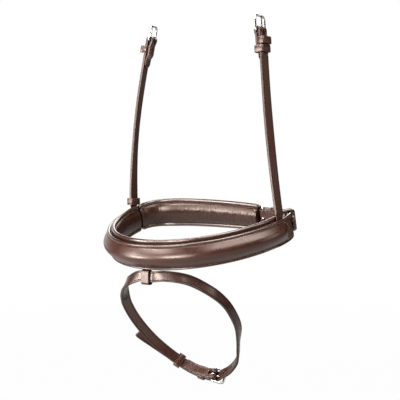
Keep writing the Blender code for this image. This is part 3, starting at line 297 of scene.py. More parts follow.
# Camera, fitted to the photograph's outline
VIEW_AZIMUTH = math.radians(36.2)
VIEW_PITCH = math.radians(2.8)
VIEW_DISTANCE = 1139.0
VIEW_TARGET = np.array([3.94, -12.49, -194.9])
LENS = 86.76
SENSOR = 36.0

# Floor: its height in millimetres, its half side and where it fades to white in metres
FLOOR_LEVEL = -620.0
FLOOR_HALF = 6.0
FLOOR_FADE = (0.9, 2.4)

# Light: the backdrop that gloss sees is white within a cone and below a height, and fades to a
# dim room between two cosines of the cone's angle and two heights of the ray's direction
AMBIENT_GLOW = 0.18
ROOM_GLOW = 0.035
SKY_GLOW = 0.07
FLOOR_GLOSS = 0.25
BACKDROP_AZIMUTH = math.radians(-128.0)
BACKDROP_CONE = (0.75, 0.9)
BACKDROP_TOP = (0.1, 0.5)
WHITE = (1.0, 1.0, 1.0, 1.0)
LAMP_COLOUR = (1.0, 0.96, 0.93)
# Each soft box: azimuth and elevation in degrees, distance, width and height in metres, watts
LAMPS = {
    "top_box": (20.0, 76.0, 1.3, 1.2, 0.5, 30.0),
    "front_box": (-30.0, 8.0, 1.4, 1.0, 0.6, 8.0),
    "low_box": (-37.0, -5.0, 1.4, 0.4, 0.35, 11.0),
    "edge_box": (-47.0, 6.0, 1.4, 0.3, 0.9, 9.0),
    "flash_box": (4.0, 4.0, 1.4, 0.6, 0.5, 26.0),
    "left_box": (-29.0, 37.0, 1.4, 0.75, 0.3, 15.0),
    "key_box": (68.0, 45.0, 1.4, 1.4, 0.4, 19.0),
    "near_box": (104.0, 14.0, 1.4, 0.3, 0.5, 2.0),
    "back_box": (205.0, 30.0, 1.6, 1.2, 0.6, 9.0),
    "right_box": (131.0, 14.0, 1.5, 0.3, 0.6, 0.3),
}

# Leather's dye mottles and its face swells over these sizes, as on a tanned hide
DYE_MM = 14.0
SWELL_MM = 4.0
WAX_TINT = "#f4dfd4"


def unit(vectors):
    """Vectors scaled to length one."""
    vectors = np.asarray(vectors, dtype=float)
    return vectors / np.linalg.norm(vectors, axis=-1, keepdims=True)


def smooth(share):
    """An S-shaped ramp from 0 to 1: 3 s^2 - 2 s^3."""
    share = np.clip(share, 0.0, 1.0)
    return share * share * (3.0 - 2.0 * share)


def lengths(points):
    """How far along a line each of its points lies."""
    steps = np.linalg.norm(np.diff(points, axis=0), axis=1)
    return np.concatenate([[0.0], np.cumsum(steps)])


def lengths_left(points):
    """How much of a line lies beyond each of its points."""
    steps = np.linalg.norm(np.diff(points, axis=0), axis=1)
    return np.concatenate([np.cumsum(steps[::-1])[::-1], [0.0]])


def read_along(at, marks, table):
    """A table with a row for each mark along a line, read between the marks."""
    if table.ndim == 1:
        return np.interp(at, marks, table)
    return np.stack([np.interp(at, marks, column) for column in table.T], axis=-1)


# Materials

def linear(code):
    """An sRGB hex colour as linear values."""
    parts = [int(code[k:k + 2], 16) / 255.0 for k in (1, 3, 5)]
    return (*[p / 12.92 if p <= 0.04045 else ((p + 0.055) / 1.055) ** 2.4 for p in parts], 1.0)


def node(tree, kind, settings=None, **links):
    """Adds a node, sets its properties and joins or sets its inputs by name."""
    made = tree.nodes.new(kind)
    for key, value in (settings or {}).items():
        setattr(made, key, value)
    for key, value in links.items():
        socket = made.inputs[int(key[1:])] if key[0] == "i" and key[1:].isdigit() else \
            made.inputs[key.replace("_", " ")]
        if isinstance(value, bpy.types.NodeSocket):
            tree.links.new(value, socket)
        else:
            socket.default_value = value
    return made


def surface(name, **values):
    """A new material, its node tree and its Principled shader with these sockets set."""
    material = bpy.data.materials.new(name)
    material.use_nodes = True
    tree = material.node_tree
    shader = tree.nodes["Principled BSDF"]
    for key, value in values.items():
        shader.inputs[key.replace("_", " ")].default_value = value
    return material, tree, shader


def leather(name, light, dark, roughness, grain_mm, grain_depth_mm, coat):
    """Dyed leather: mottled dye, pores pressed in at grain_mm apart, a waxed or matt face."""
    material, tree, shader = surface(name, Specular_IOR_Level=0.5, Coat_Weight=coat,
                                     Specular_Tint=linear(WAX_TINT), Coat_Roughness=0.25)
    place = node(tree, "ShaderNodeTexCoord").outputs["Object"]
    dye = node(tree, "ShaderNodeTexNoise", Vector=place, Scale=1.0 / (DYE_MM * MM), Detail=5.0,
               Roughness=0.62)
    tone = node(tree, "ShaderNodeMix", {"data_type": "RGBA"}, Factor=dye.outputs["Fac"],
                i6=linear(dark), i7=linear(light))
    tree.links.new(tone.outputs[2], shader.inputs["Base Color"])
    wear = node(tree, "ShaderNodeMapRange", Value=dye.outputs["Fac"], From_Min=0.35,
                From_Max=0.65, To_Min=roughness - 0.04, To_Max=roughness + 0.05)
    tree.links.new(wear.outputs["Result"], shader.inputs["Roughness"])
    pores = node(tree, "ShaderNodeTexVoronoi", {"feature": "SMOOTH_F1"}, Vector=place,
                 Scale=1.0 / (grain_mm * MM))
    swell = node(tree, "ShaderNodeTexNoise", Vector=place, Scale=1.0 / (SWELL_MM * MM),
                 Detail=3.0)
    height = node(tree, "ShaderNodeMath", {"operation": "MULTIPLY_ADD"}, i0=swell.outputs["Fac"],
                  i1=1.2, i2=pores.outputs["Distance"])
    bump = node(tree, "ShaderNodeBump", Strength=0.55, Distance=grain_depth_mm * MM,
                Height=height.outputs["Value"])
    tree.links.new(bump.outputs["Normal"], shader.inputs["Normal"])
    return material


def make_finishes():
    """The object's finishes, each named for what it is."""
    finishes = {}
    # Havana bridle leather, dyed through and waxed: deep brown with a soft sheen
    finishes["bridle"] = leather("havana_bridle_leather", "#371e17", "#22120d", 0.29, 0.9, 0.05,
                                 0.22)
    # The same hide slicked smooth for the cheek straps: darker face, tighter sheen
    finishes["strap"] = leather("slicked_strap_leather", "#391d15", "#23110c", 0.20, 0.9, 0.03,
                                0.08)
    # Lining leather, softer and less waxed: a shade darker, with finer, deeper pores
    finishes["lining"] = leather("soft_lining_leather", "#2d1710", "#1b0d09", 0.27, 0.8, 0.07,
                                 0.08)
    # Cut edges, dyed darker and rubbed smooth
    finishes["edge"] = leather("burnished_edge", "#22140f", "#170e0b", 0.34, 1.4, 0.03, 0.10)
    # Edges rolled over and waxed: the same brown, polished so that it catches a thin bright line
    finishes["rolled"] = leather("rolled_edge_leather", "#3a241d", "#241611", 0.20, 0.9, 0.03,
                                 1.0)
    # Leather pressed down by the stitches, darkened as painted shade in its groove: darkest, no
    # sheen
    channel, _, _ = surface("painted_shade_channel_leather", Base_Color=linear("#1e100c"),
                            Roughness=0.6, Specular_IOR_Level=0.15)
    finishes["channel"] = channel
    # Waxed linen thread in the leather's own brown, a little lighter
    thread, _, _ = surface("waxed_linen_thread", Base_Color=linear("#5e4434"), Roughness=0.6)
    finishes["thread"] = thread
    # Nickel-plated steel, polished
    nickel, _, _ = surface("polished_nickel_plate", Base_Color=linear("#bab9b5"), Metallic=1.0,
                           Roughness=0.13)
    finishes["nickel"] = nickel
    # Wool felt that fills out the nosepiece, hidden inside
    felt, _, _ = surface("wool_felt", Base_Color=linear("#756b5f"), Roughness=0.95)
    finishes["felt"] = felt
    return finishes


# Meshes

def make_mesh(name, points, quads, tris, materials, marks=0):
    """A piece from points in millimetres; marks number the quads' finishes among its materials.

    Its faces point outwards: the mesh is turned round where its signed volume is negative.
    """
    quads = np.asarray(quads, dtype=np.int32).reshape(-1, 4)
    tris = np.asarray(tris, dtype=np.int32).reshape(-1, 3)
    fan = np.concatenate([quads[:, (0, 1, 2)], quads[:, (0, 2, 3)], tris])
    a, b, c = (points[fan[:, k]] for k in range(3))
    if np.sum(a * np.cross(b, c)) < 0.0:
        quads = quads[:, ::-1]
        tris = tris[:, ::-1]
    mesh = bpy.data.meshes.new(name)
    mesh.vertices.add(len(points))
    mesh.vertices.foreach_set("co", (points * MM).astype(np.float32).ravel())
    corners = np.concatenate([quads.ravel(), tris.ravel()])
    mesh.loops.add(len(corners))
    mesh.loops.foreach_set("vertex_index", corners)
    mesh.polygons.add(len(quads) + len(tris))
    starts = np.concatenate([np.arange(len(quads)) * 4,
                             len(quads) * 4 + np.arange(len(tris)) * 3])
    mesh.polygons.foreach_set("loop_start", starts.astype(np.int32))
    mesh.polygons.foreach_set("use_smooth", np.ones(len(starts), dtype=bool))
    for material in materials:
        mesh.materials.append(material)
    index = np.zeros(len(starts), dtype=np.int32)
    index[:len(quads)] = marks
    mesh.polygons.foreach_set("material_index", index)
    mesh.update(calc_edges=True)
    mesh.validate()
    obj = bpy.data.objects.new(name, mesh)
    bpy.context.scene.collection.objects.link(obj)
    return obj


def grid_faces(rows, columns, closed_rows=False):
    """Quads of a grid whose columns close on themselves, as rows x columns x 4 indices."""
    last = rows if closed_rows else rows - 1
    i = np.arange(last)[:, None]
    j = np.arange(columns)[None, :]
    here = i * columns + j
    beside = i * columns + (j + 1) % columns
    ahead = ((i + 1) % rows) * columns + j
    both = ((i + 1) % rows) * columns + (j + 1) % columns
    return np.stack([here, beside, both, ahead], axis=-1)


def end_fans(grid):
    """A middle point for each open end of a grid, and the triangles that close the ends."""
    rows, columns, _ = grid.shape
    middles = np.stack([grid[0].mean(axis=0), grid[-1].mean(axis=0)])
    j = np.arange(columns)
    after = (j + 1) % columns
    base = rows * columns
    first = np.stack([np.full(columns, base), after, j], axis=-1)
    last = (rows - 1) * columns
    second = np.stack([np.full(columns, base + 1), last + j, last + after], axis=-1)
    return middles, np.concatenate([first, second])


def skin(name, grid, materials, closed=False, marks=0):
    """A closed skin over a grid of points: columns go round, rows go along.

    Marks give each column's finish by its number among the materials.
    """
    faces = grid_faces(grid.shape[0], grid.shape[1], closed)
    marks = np.broadcast_to(marks, faces.shape[:2]).ravel()
    points = grid.reshape(-1, 3)
    tris = np.zeros((0, 3))
    if not closed:
        middles, tris = end_fans(grid)
        points = np.concatenate([points, middles])
    return make_mesh(name, points, faces.reshape(-1, 4), tris, materials, marks)


def wear_on(obj, body, nodes):
    """Lets a piece ride on its body in place of its plain solids."""
    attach(obj, body)
    if nodes:
        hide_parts(*nodes)
    return obj


# Lines that straps follow

class Ribbon:
    """A line in space with the way out of the strap and the way across it at every point."""

    def __init__(self, places, outs, acrosses):
        """The ways across are squared to the line, and the ways out stand on both."""
        self.places = np.asarray(places, dtype=float)
        self.along = lengths(self.places)
        ways = unit(np.gradient(self.places, self.along, axis=0))
        acrosses = acrosses - ways * np.sum(acrosses * ways, axis=1, keepdims=True)
        self.acrosses = unit(acrosses)
        normals = np.cross(ways, self.acrosses)
        self.outs = unit(normals * np.sign(np.sum(normals * outs, axis=1, keepdims=True)))

    def read(self, table, at):
        """One of the ribbon's tables at a length along it."""
        return read_along(at, self.along, table)

    def frame(self, at):
        """Place, way out, way across and way along."""
        out = unit(self.read(self.outs, at))
        across = unit(self.read(self.acrosses, at))
        along = np.cross(across, out)
        ahead = self.read(self.places, at + 0.5) - self.read(self.places, at - 0.5)
        along = along * np.sign(np.sum(along * ahead, axis=-1, keepdims=True))
        return self.read(self.places, at), out, across, along

    def point(self, at, out):
        """A point at a length along the ribbon and a way out of it."""
        place, way_out, _, _ = self.frame(at)
        return place + way_out * out


def ring_tables():
    """Reach along the ring, its x and y from a circle's added harmonics, and its normal."""
    angle = np.linspace(-2.0 * math.pi, 2.0 * math.pi, 2881)
    x = RING_HALF_WIDTH * np.sin(angle) + RING_SQUARENESS * np.sin(3 * angle)
    y = (-RING_HALF_DEPTH * np.cos(angle) + RING_EGG * np.cos(2 * angle)
         + RING_NOSE_SHAPE * np.cos(3 * angle) + RING_ASKEW * np.sin(2 * angle))
    arc = lengths(np.stack([x, y], axis=-1))
    arc = arc - np.interp(0.0, angle, arc)
    return arc - NOSE_MIDDLE, x, y, np.gradient(y, arc), -np.gradient(x, arc)


RING_ARC, RING_X, RING_Y, RING_OUT_X, RING_OUT_Y = ring_tables()
RING_GIRTH = 0.5 * (RING_ARC[-1] - RING_ARC[0])


def ring_point(reach, out, up):
    """A point at a reach along the ring from the nose middle, a way out, and up its axis."""
    reach = np.asarray(reach, dtype=float)
    x = np.interp(reach, RING_ARC, RING_X) + out * np.interp(reach, RING_ARC, RING_OUT_X)
    y = np.interp(reach, RING_ARC, RING_Y) + out * np.interp(reach, RING_ARC, RING_OUT_Y)
    up = np.asarray(up, dtype=float)
    return (RING_CENTRE + x[..., None] * RING_ACROSS + y[..., None] * RING_BACK
            + up[..., None] * RING_UP)


def ring_out(reach):
    """The way out of the ring."""
    x = np.interp(reach, RING_ARC, RING_OUT_X)
    y = np.interp(reach, RING_ARC, RING_OUT_Y)
    return unit(np.asarray(x)[..., None] * RING_ACROSS + np.asarray(y)[..., None] * RING_BACK)


def ring_ribbon(start, end):
    """The ring's middle line as a ribbon, measured from a starting reach."""
    reach = np.linspace(start, end, int(abs(end - start)) + 1)
    places = ring_point(reach, 0.0, np.zeros_like(reach))
    return Ribbon(places, ring_out(reach), np.tile(RING_UP, (len(reach), 1)))


# Folded paths: stations along a ribbon, and levels out of it

def run(start, end, out_start, out_end):
    """Path stations from one level to another: linear along, S-shaped out, first end left out."""
    count = max(2, int(math.ceil(abs(end - start) / PATH_STEP)))
    share = np.arange(1, count + 1) / count
    return np.stack([start + (end - start) * share,
                     out_start + (out_end - out_start) * smooth(share)], axis=-1)


def runs(stations):
    """Runs joined end to end through (station, level) pairs, the first pair itself included."""
    parts = [run(start, end, out_start, out_end)
             for (start, out_start), (end, out_end) in zip(stations, stations[1:])]
    return np.concatenate([stations[:1]] + parts)


def fold(centre, radius, reach):
    """Half a turn around a buckle bar, from its outer side to its inner side."""
    angle = np.linspace(0.5 * math.pi, -0.5 * math.pi, FOLD_POINTS)
    return np.stack([centre[0] + reach * np.cos(angle),
                     centre[1] + radius * np.sin(angle)], axis=-1)


def fold_radius(thickness):
    """Radius of a strap's middle line round its buckle's bar."""
    return BAR_RADIUS + FOLD_CLEARANCE + 0.5 * thickness


def fold_slot(track, before, radius):
    """The tongue's slot over a fold: its middle and half length, after so many path points."""
    return track.length[before + FOLD_POINTS // 2 - 1], 0.5 * math.pi * radius + SLOT_PAST_FOLD


def sewn_layer(thickness):
    """Level of a folded-back layer with a keeper's thin side sewn between it and the strap."""
    return -(thickness + 2.0 * GAP + KEEPER_SEWN)


def threaded_levels(thickness, under):
    """Levels above the bar: the free end's where it crosses the bar, and the far end's wire's."""
    over = BAR_RADIUS + FOLD_CLEARANCE + 1.5 * thickness + 0.4
    far_end = under + 0.5 * thickness + 1.0 + WIRE_RADIUS
    return over, far_end


def threaded(far_end_at, bar_at, way, under, over, beside):
    """Stations and levels of a free end from its buckle's far end, over the bar, to its strap."""
    return [(far_end_at + way * PAST_FAR_END, under), (bar_at - way * BEFORE_BAR, over),
            (bar_at + way * PAST_BAR, over), (bar_at + way * LIES_AGAIN, beside)]


def pointed(left, width, length, tip_share=0.30):
    """Strap widths by the length left to its end: an ellipse's quarter, cut off at tip_share."""
    share = np.clip(left / length, 0.0, 1.0)
    return width * (tip_share + (1.0 - tip_share) * np.sqrt(share * (2.0 - share)))


def punched(in_use, spares):
    """The hole that the tongue goes through, and spare ones so many spacings from it."""
    spare_holes = [(in_use + HOLE_SPACING * k, HOLE_HALF) for k in spares]
    return [(in_use, HOLE_IN_USE)] + spare_holes


class Track:
    """A strap's middle line along its own folded path, by the length of leather from its start."""

    def __init__(self, ribbon, path, width, thickness, aside=0.0):
        """The path's stations and levels are carried to the ribbon; doubled points are dropped."""
        keep = np.concatenate([[True], np.linalg.norm(np.diff(path, axis=0), axis=1) > 1e-6])
        path = path[keep]
        self.width, self.thickness, aside = (np.broadcast_to(v, len(keep))[keep]
                                             for v in (width, thickness, aside))
        slope = unit(np.gradient(path, lengths(path), axis=0))
        place, out, self.across, along = ribbon.frame(path[:, 0])
        self.place = place + out * path[:, 1:2] + self.across * aside[:, None]
        self.through = along * -slope[:, 1:2] + out * slope[:, 0:1]
        self.length = lengths(self.place)

    def read(self, table, at):
        """One of the track's tables at a length of leather."""
        return read_along(at, self.length, table)


# Straps and stitches

def columns(half):
    """Places across a strap from its middle to its edge, and the share of its thickness there.

    Columns crowd at the tongue's slot, at the creased line and round the rubbed edge.
    """
    crease = half - CREASE_FROM_EDGE
    flat = np.linspace(HOLE_HALF + SLOT_RIM, crease - 2.2 * CREASE_HALF, 4)
    x = np.concatenate([[0.0, 0.5 * HOLE_HALF, HOLE_HALF], flat,
                        [crease - CREASE_HALF, crease, crease + CREASE_HALF],
                        half - EDGE_INSETS])
    share = np.concatenate([np.ones(len(x) - len(EDGE_SHARES)), EDGE_SHARES])
    groove = np.where(x == crease, CREASE_DEPTH, 0.0)
    return x, share, groove


def strap_lengths(total, holes):
    """Lengths of a strap's rows: evenly spaced, with rows set where each hole's outline bends."""
    at = np.linspace(0.0, total, int(math.ceil(total / STATION_STEP)) + 1)
    for middle, half in holes:
        bends = np.array([0.0, 0.25, 0.6, 1.0]) * HOLE_HALF
        marks = np.concatenate([middle - half + bends, middle + half - bends[::-1]])
        if half <= HOLE_HALF:
            marks = middle + half * np.array([-1.0, -0.72, -0.3, 0.3, 0.72, 1.0])
        clear = np.min(np.abs(at[:, None] - marks[None, :]), axis=1) > ROW_APART
        clear[[0, -1]] = True
        at = np.sort(np.concatenate([at[clear], marks]))
    return at


def drawn_in(at, middle, half):
    """Share of a hole's width at each length: whole along its sides, a half round at its ends."""
    round_end = min(HOLE_HALF, half)
    end = np.clip((np.abs(at - middle) - (half - round_end)) / round_end, 0, 1)
    drawn = np.maximum(np.sqrt(1.0 - end * end), HOLE_LEAST)
    drawn[np.abs(at - middle) > half + 1e-6] = 1.0
    return drawn


def hole_walls(first, last, low, high, around):
    """Quads from a hole's rim on the face to its rim on the back, in rows of so many points."""
    rim = ([(i, low, i + 1, low) for i in range(first, last)]
           + [(last, j, last, j + 1) for j in range(low, high)]
           + [(i + 1, high, i, high) for i in reversed(range(first, last))]
           + [(first, j + 1, first, j) for j in reversed(range(low, high))])
    return [(i * around + j, k * around + m, k * around + around - 1 - m,
             i * around + around - 1 - j) for i, j, k, m in rim]


def strap(name, track, finishes, holes, face="bridle", back_crease=False):
    """A leather strap: flat faces with a creased line by each edge, rounded burnished edges.

    A point is place + across x + through h, where h is the thickness' share over the columns.
    Each hole is (middle, half length): its patch of the grid is left out, its rims are joined
    from face to face, and its ends are drawn in to a half round. Its finishes are 0 the face,
    1 the burnished edge and the holes' walls, 2 the creased lines, darkened as painted shade.
    """
    at = strap_lengths(track.length[-1], holes)
    half_width = 0.5 * np.max(track.width)
    x, share, groove = columns(half_width)
    x = np.concatenate([-x[:0:-1], x])
    share = np.concatenate([share[:0:-1], share])
    groove = np.concatenate([groove[:0:-1], groove])
    across_x = np.tile(x, (len(at), 1)) * (0.5 * track.read(track.width, at)
                                           / half_width)[:, None]
    for middle, half in holes:
        across_x[:, np.abs(x) <= HOLE_HALF + 1e-6] *= drawn_in(at, middle, half)[:, None]
    thick = 0.5 * track.read(track.thickness, at)[:, None]
    pressed = groove * np.minimum(1.0, thick / CREASE_FULL_HALF)
    front = thick * share - pressed
    back = -thick * share + pressed * back_crease
    place = track.read(track.place, at)[:, None, :]
    across = unit(track.read(track.across, at))[:, None, :]
    through = unit(track.read(track.through, at))[:, None, :]
    faces_out = place + across * across_x[..., None] + through * front[..., None]
    faces_in = place + across * across_x[..., None] + through * back[..., None]
    grid = np.concatenate([faces_out, faces_in[:, ::-1]], axis=1)

    front_marks = np.zeros(len(x) - 1, dtype=int)
    front_marks[[0, 1, -2, -1]] = 1
    back_marks = front_marks.copy()
    # the creased lines take the channel finish: painted shade in the groove
    front_marks[[4, 5, -6, -5]] = 2
    if back_crease:
        back_marks = front_marks
    marks = np.tile(np.concatenate([front_marks, [1], back_marks, [1]]), (len(at) - 1, 1))

    around = 2 * len(x)
    faces = grid_faces(len(at), around)
    keep = np.ones(faces.shape[:2], dtype=bool)
    walls = []
    low, high = (int(np.argmin(np.abs(x - side * HOLE_HALF))) for side in (-1.0, 1.0))
    for middle, half in holes:
        first, last = (int(np.argmin(np.abs(at - (middle + side * half))))
                       for side in (-1.0, 1.0))
        keep[first:last, low:high] = False
        keep[first:last, around - 1 - high:around - 1 - low] = False
        walls += hole_walls(first, last, low, high, around)
    middles, tris = end_fans(grid)
    return make_mesh(name, np.concatenate([grid.reshape(-1, 3), middles]),
                     np.concatenate([faces[keep], walls]), tris,
                     [finishes[face], finishes["edge"], finishes["channel"]],
                     np.concatenate([marks[keep], np.ones(len(walls), dtype=int)]))


def stitch_points(line, outs):
    """Places, ways along and ways out of evenly spaced stitches on a line."""
    along = lengths(line)
    count = max(1, int(along[-1] / STITCH_PITCH))
    at = (np.arange(count) + 0.5) * along[-1] / count
    ahead = read_along(at + 0.4, along, line) - read_along(at - 0.4, along, line)
    return read_along(at, along, line), unit(ahead), unit(read_along(at, along, outs))


def stitches(name, rows, material):
    """Thread stitches: each a capsule that arches out of the leather and dives in at both ends.

    Along a stitch t runs from -1 to 1, its radius is r sqrt(1 - t^8) and its height h (1 - t^2).
    """
    t = np.array([-1.0, -0.9, -0.5, 0.0, 0.5, 0.9, 1.0])
    turn = np.linspace(0.0, 2.0 * math.pi, THREAD_SIDES, endpoint=False)
    radius = THREAD_RADIUS * np.sqrt(np.maximum(1.0 - t ** 8, 0.02))
    lift = STITCH_ARCH * (1.0 - t * t) - STITCH_SUNK
    local = np.stack([np.tile(0.5 * STITCH_LENGTH * t[:, None], (1, THREAD_SIDES)),
                      radius[:, None] * np.cos(turn)[None, :],
                      radius[:, None] * np.sin(turn)[None, :] + lift[:, None]], axis=-1)
    places, aheads, outs = (np.concatenate(parts) for parts in zip(*rows))
    outs = unit(outs - aheads * np.sum(outs * aheads, axis=1, keepdims=True))
    aheads = unit(aheads + STITCH_SLANT * np.cross(outs, aheads))
    sides = np.cross(outs, aheads)
    grid = (places[:, None, None, :]
            + local[None, :, :, 0:1] * aheads[:, None, None, :]
            + local[None, :, :, 1:2] * sides[:, None, None, :]
            + local[None, :, :, 2:3] * outs[:, None, None, :])
    faces = grid_faces(len(t), THREAD_SIDES).reshape(-1, 4)
    _, fan = end_fans(grid[0])
    ends = grid[:, (0, -1)].mean(axis=2)
    points = np.concatenate([grid.reshape(len(places), -1, 3), ends], axis=1)
    shift = (np.arange(len(places)) * points.shape[1])[:, None, None]
    return make_mesh(name, points.reshape(-1, 3), (faces[None] + shift).reshape(-1, 4),
                     (fan[None] + shift).reshape(-1, 3), [material])


def sew(name, rows, finishes, body):
    """Stitches that ride on a body and have no solids of their own."""
    wear_on(stitches(name, rows, finishes["thread"]), body, [])


def strap_rows(track, start, end, side_of_strap=1.0):
    """Two stitch rows near a strap's edges, between two lengths along it, on one face."""
    at = np.linspace(start, end, max(8, int(abs(end - start))))
    place = track.read(track.place, at)
    across = unit(track.read(track.across, at))
    through = unit(track.read(track.through, at)) * side_of_strap
    level = 0.5 * track.read(track.thickness, at)[:, None]
    rows = []
    for side in (-1.0, 1.0):
        half = (0.5 * track.read(track.width, at) - STITCH_FROM_EDGE)[:, None] * side
        rows.append(stitch_points(place + across * half + through * level, through))
    return rows


# Bands round the nose

def dome(up, height):
    """Share of the nosepiece's rise at a height from its middle: a raised cosine, filled out."""
    share = np.clip(np.abs(up) / (0.5 * height), 0.0, 1.0)
    return (0.5 + 0.5 * np.cos(math.pi * share)) ** DOME_FILL


def dome_along(reach):
    """The raised middle rounds off towards both cheeks: a quarter ellipse."""
    past = np.clip((np.abs(reach) - (DOME_REACH - DOME_FADE)) / DOME_FADE, 0.0, 1.0)
    return np.sqrt(1.0 - past * past)


def end_share(reach, limit, length, least=0.35):
    """Height share near a band's rounded ends: a quarter ellipse that starts from the least."""
    past = np.clip((np.abs(reach) - (limit - length)) / length, 0.0, 1.0)
    return least + (1.0 - least) * np.sqrt(1.0 - past * past)


def band_reaches(limit, length, step, middle=0.0):
    """Reaches from end to end of a band, closer together at its rounded ends."""
    inner = limit - length
    ends = inner + length * np.sin(np.linspace(0.0, 0.5 * math.pi, 10)[1:])
    flat = np.linspace(middle - inner, middle + inner, int(2.0 * inner / step) + 1)
    return np.concatenate([middle - ends[::-1], flat, middle + ends])


def panel_out(reach, up):
    """Outer face of the nosepiece: a dome over a flat rim, less a stitched channel round it.

    The channel is a bell curve of the distance to the panel's nearest edge.
    """
    rise = DOME_RISE * dome_along(reach)
    inset = 0.5 * PANEL_HEIGHT - PANEL_STITCH_UP
    left = np.minimum(PANEL_REACH - np.abs(reach), 0.5 * PANEL_HEIGHT - np.abs(up))
    channel = CHANNEL_DEPTH * np.exp(-((left - inset) / CHANNEL_WIDTH) ** 2)
    return PANEL_ROLL_TOP + rise * dome(up, DOME_HEIGHT) - channel


def nose_panel(finishes):
    """Outer leather: its face from panel_out, its edges rolled half round down to the backing.

    Towards the very ends the whole section closes on the roll's middle as a quarter circle.
    Its finishes are 0 the face and the back, 1 the stitched channel darkened as painted
    shade, 2 the rolled edge.
    """
    reach = band_reaches(PANEL_REACH, PANEL_END_LENGTH, 2.0)[:, None]
    share = end_share(reach, PANEL_REACH, PANEL_END_LENGTH)
    behind = (PANEL_ROLL_BACK + (PANEL_INNER - PANEL_ROLL_BACK)
              * smooth((np.abs(reach) - PANEL_ROLL_END) / PANEL_ROLL_FADE))
    roll = 0.5 * (PANEL_ROLL_TOP - behind)
    half = 0.5 * PANEL_HEIGHT - roll
    channel = PANEL_STITCH_UP + CHANNEL_COLUMNS
    face = np.concatenate([np.linspace(0.0, channel[0] - 0.6, 20), channel])
    face = np.concatenate([-face[:0:-1], face])
    face = np.concatenate([-half, np.ones_like(half) * face, half], axis=1)
    turn = np.linspace(0.0, math.pi, 11)[None, 1:-1]
    edge_up = half + roll * np.sin(turn)
    edge_out = behind + roll + roll * np.cos(turn)
    back = np.ones_like(half) * np.array(PANEL_BACK_UPS)[None, :]
    back = np.concatenate([half, back, -back[:, ::-1], -half], axis=1)
    back_out = PANEL_INNER + DOME_RISE * dome_along(reach) * dome(back, DOME_BACK_HEIGHT)
    back_out[:, :2] = behind
    back_out[:, -2:] = behind
    ups = np.concatenate([face, edge_up, back, -edge_up[:, ::-1]], axis=1)
    outs = np.concatenate([panel_out(reach, face), edge_out, back_out, edge_out[:, ::-1]], axis=1)
    past = np.clip((np.abs(reach) - PANEL_REACH + roll) / roll, 0.0, 1.0)
    middle = behind + roll
    outs = middle + (outs - middle) * np.maximum(np.sqrt(1.0 - past * past), PANEL_CLOSED)
    grid = ring_point(reach * np.ones_like(ups), outs, ups * share)
    face_end = face.shape[1] - 1
    marks = np.zeros(ups.shape[1], dtype=int)
    # the stitched channel's columns: painted shade in the groove
    marks[:4] = 1
    marks[face_end - 4:face_end] = 1
    marks[face_end:face_end + 1 + turn.shape[1]] = 2
    marks[-turn.shape[1] - 1:] = 2
    return skin("nosepiece_outer_leather", grid,
                [finishes["bridle"], finishes["channel"], finishes["rolled"]], marks=marks)


def nose_backing(finishes):
    """Flat leather between the outer leather and the lining, with half-round edges."""
    half = 0.5 * BACKING_HEIGHT
    edge = 0.5 * BACKING_THICKNESS
    turn = np.linspace(0.0, math.pi, 7)
    reach = band_reaches(BACKING_REACH, BACKING_END_LENGTH, 3.0)[:, None]
    share = end_share(reach, BACKING_REACH, BACKING_END_LENGTH)
    up = np.concatenate([half - edge + edge * np.sin(turn), -half + edge - edge * np.sin(turn)])
    out = np.concatenate([edge + edge * np.cos(turn), edge - edge * np.cos(turn)])
    grid = ring_point(reach * np.ones_like(up), np.ones_like(reach) * out, up * share)
    return skin("nosepiece_backing_leather", grid, [finishes["edge"]])


def wrinkles(reach, up, strength):
    """Small creases across a pad where it bends inwards: slanted waves, stronger in patches."""
    patch = 0.5 + 0.5 * np.sin(reach / 23.0 + 1.3) * np.sin(reach / 9.1 + up / 15.0)
    waves = (np.sin(reach / 0.95 + 0.10 * up + 1.1 * np.sin(up / 6.0))
             + 0.6 * np.sin(reach / 1.7 - 0.16 * up + 0.7)
             + 0.5 * np.sin(reach / 3.1 + 0.30 * up))
    return strength * patch * waves


def cushion(name, reach, share, height, edge, crown, raised, crease, finishes):
    """A padded band: flat back, a half-round bead at each edge, a seam valley, a crowned face.

    The crown is a parabola between the two seams, raised to a power so that it fills out.
    Its finishes are 0 the crown and the back, 1 the seam valleys darkened as painted shade,
    2 the beads.
    """
    half = 0.5 * height[:, None]
    crown = np.reshape(crown, (-1, 1))
    raised = np.reshape(raised, (-1, 1))
    bead = 0.5 * (edge - GAP)
    groove = edge - SEAM_DEPTH
    across = np.sin(np.linspace(-0.5 * math.pi, 0.5 * math.pi, 41))[None, :]
    face_up = (half - BEADS_TO_SEAM * bead) * across
    fill = np.maximum(1.0 - across ** 2, 0.0) ** CROWN_FILL
    wave = wrinkles(reach[:, None], face_up, crease[:, None]) * fill
    face_out = -(groove + (crown - groove) * fill) + wave
    bead_out = np.ones_like(half) * (-(GAP + bead) + bead * np.sin(BEAD_TURNS))[None, :]
    bead_up = half - bead + bead * np.cos(BEAD_TURNS)[None, :]
    back_up = (half - BEADS_TO_BACK * bead) * np.linspace(1.0, -1.0, 7)[None, :]
    back_out = np.full_like(back_up, -GAP)
    up = np.concatenate([-bead_up[:, ::-1], face_up, bead_up, back_up], axis=1)
    out = np.concatenate([bead_out[:, ::-1], face_out, bead_out, back_out], axis=1)
    thin = PAD_THINNEST + (1.0 - PAD_THINNEST) * share[:, None]
    out = -GAP + (out + GAP) * thin
    grid = ring_point(reach[:, None] * np.ones_like(up), out, up * share[:, None] + raised)
    marks = np.zeros(up.shape[1], dtype=int)
    beads = bead_up.shape[1]
    face_end = beads + across.shape[1]
    marks[:beads - 1] = 2
    marks[face_end:face_end + beads - 1] = 2
    # the seam valleys' columns: painted shade
    marks[beads - 1:beads + 3] = 1
    marks[face_end - 4:face_end] = 1
    return skin(name, grid, [finishes["lining"], finishes["channel"], finishes["rolled"]],
                marks=marks)


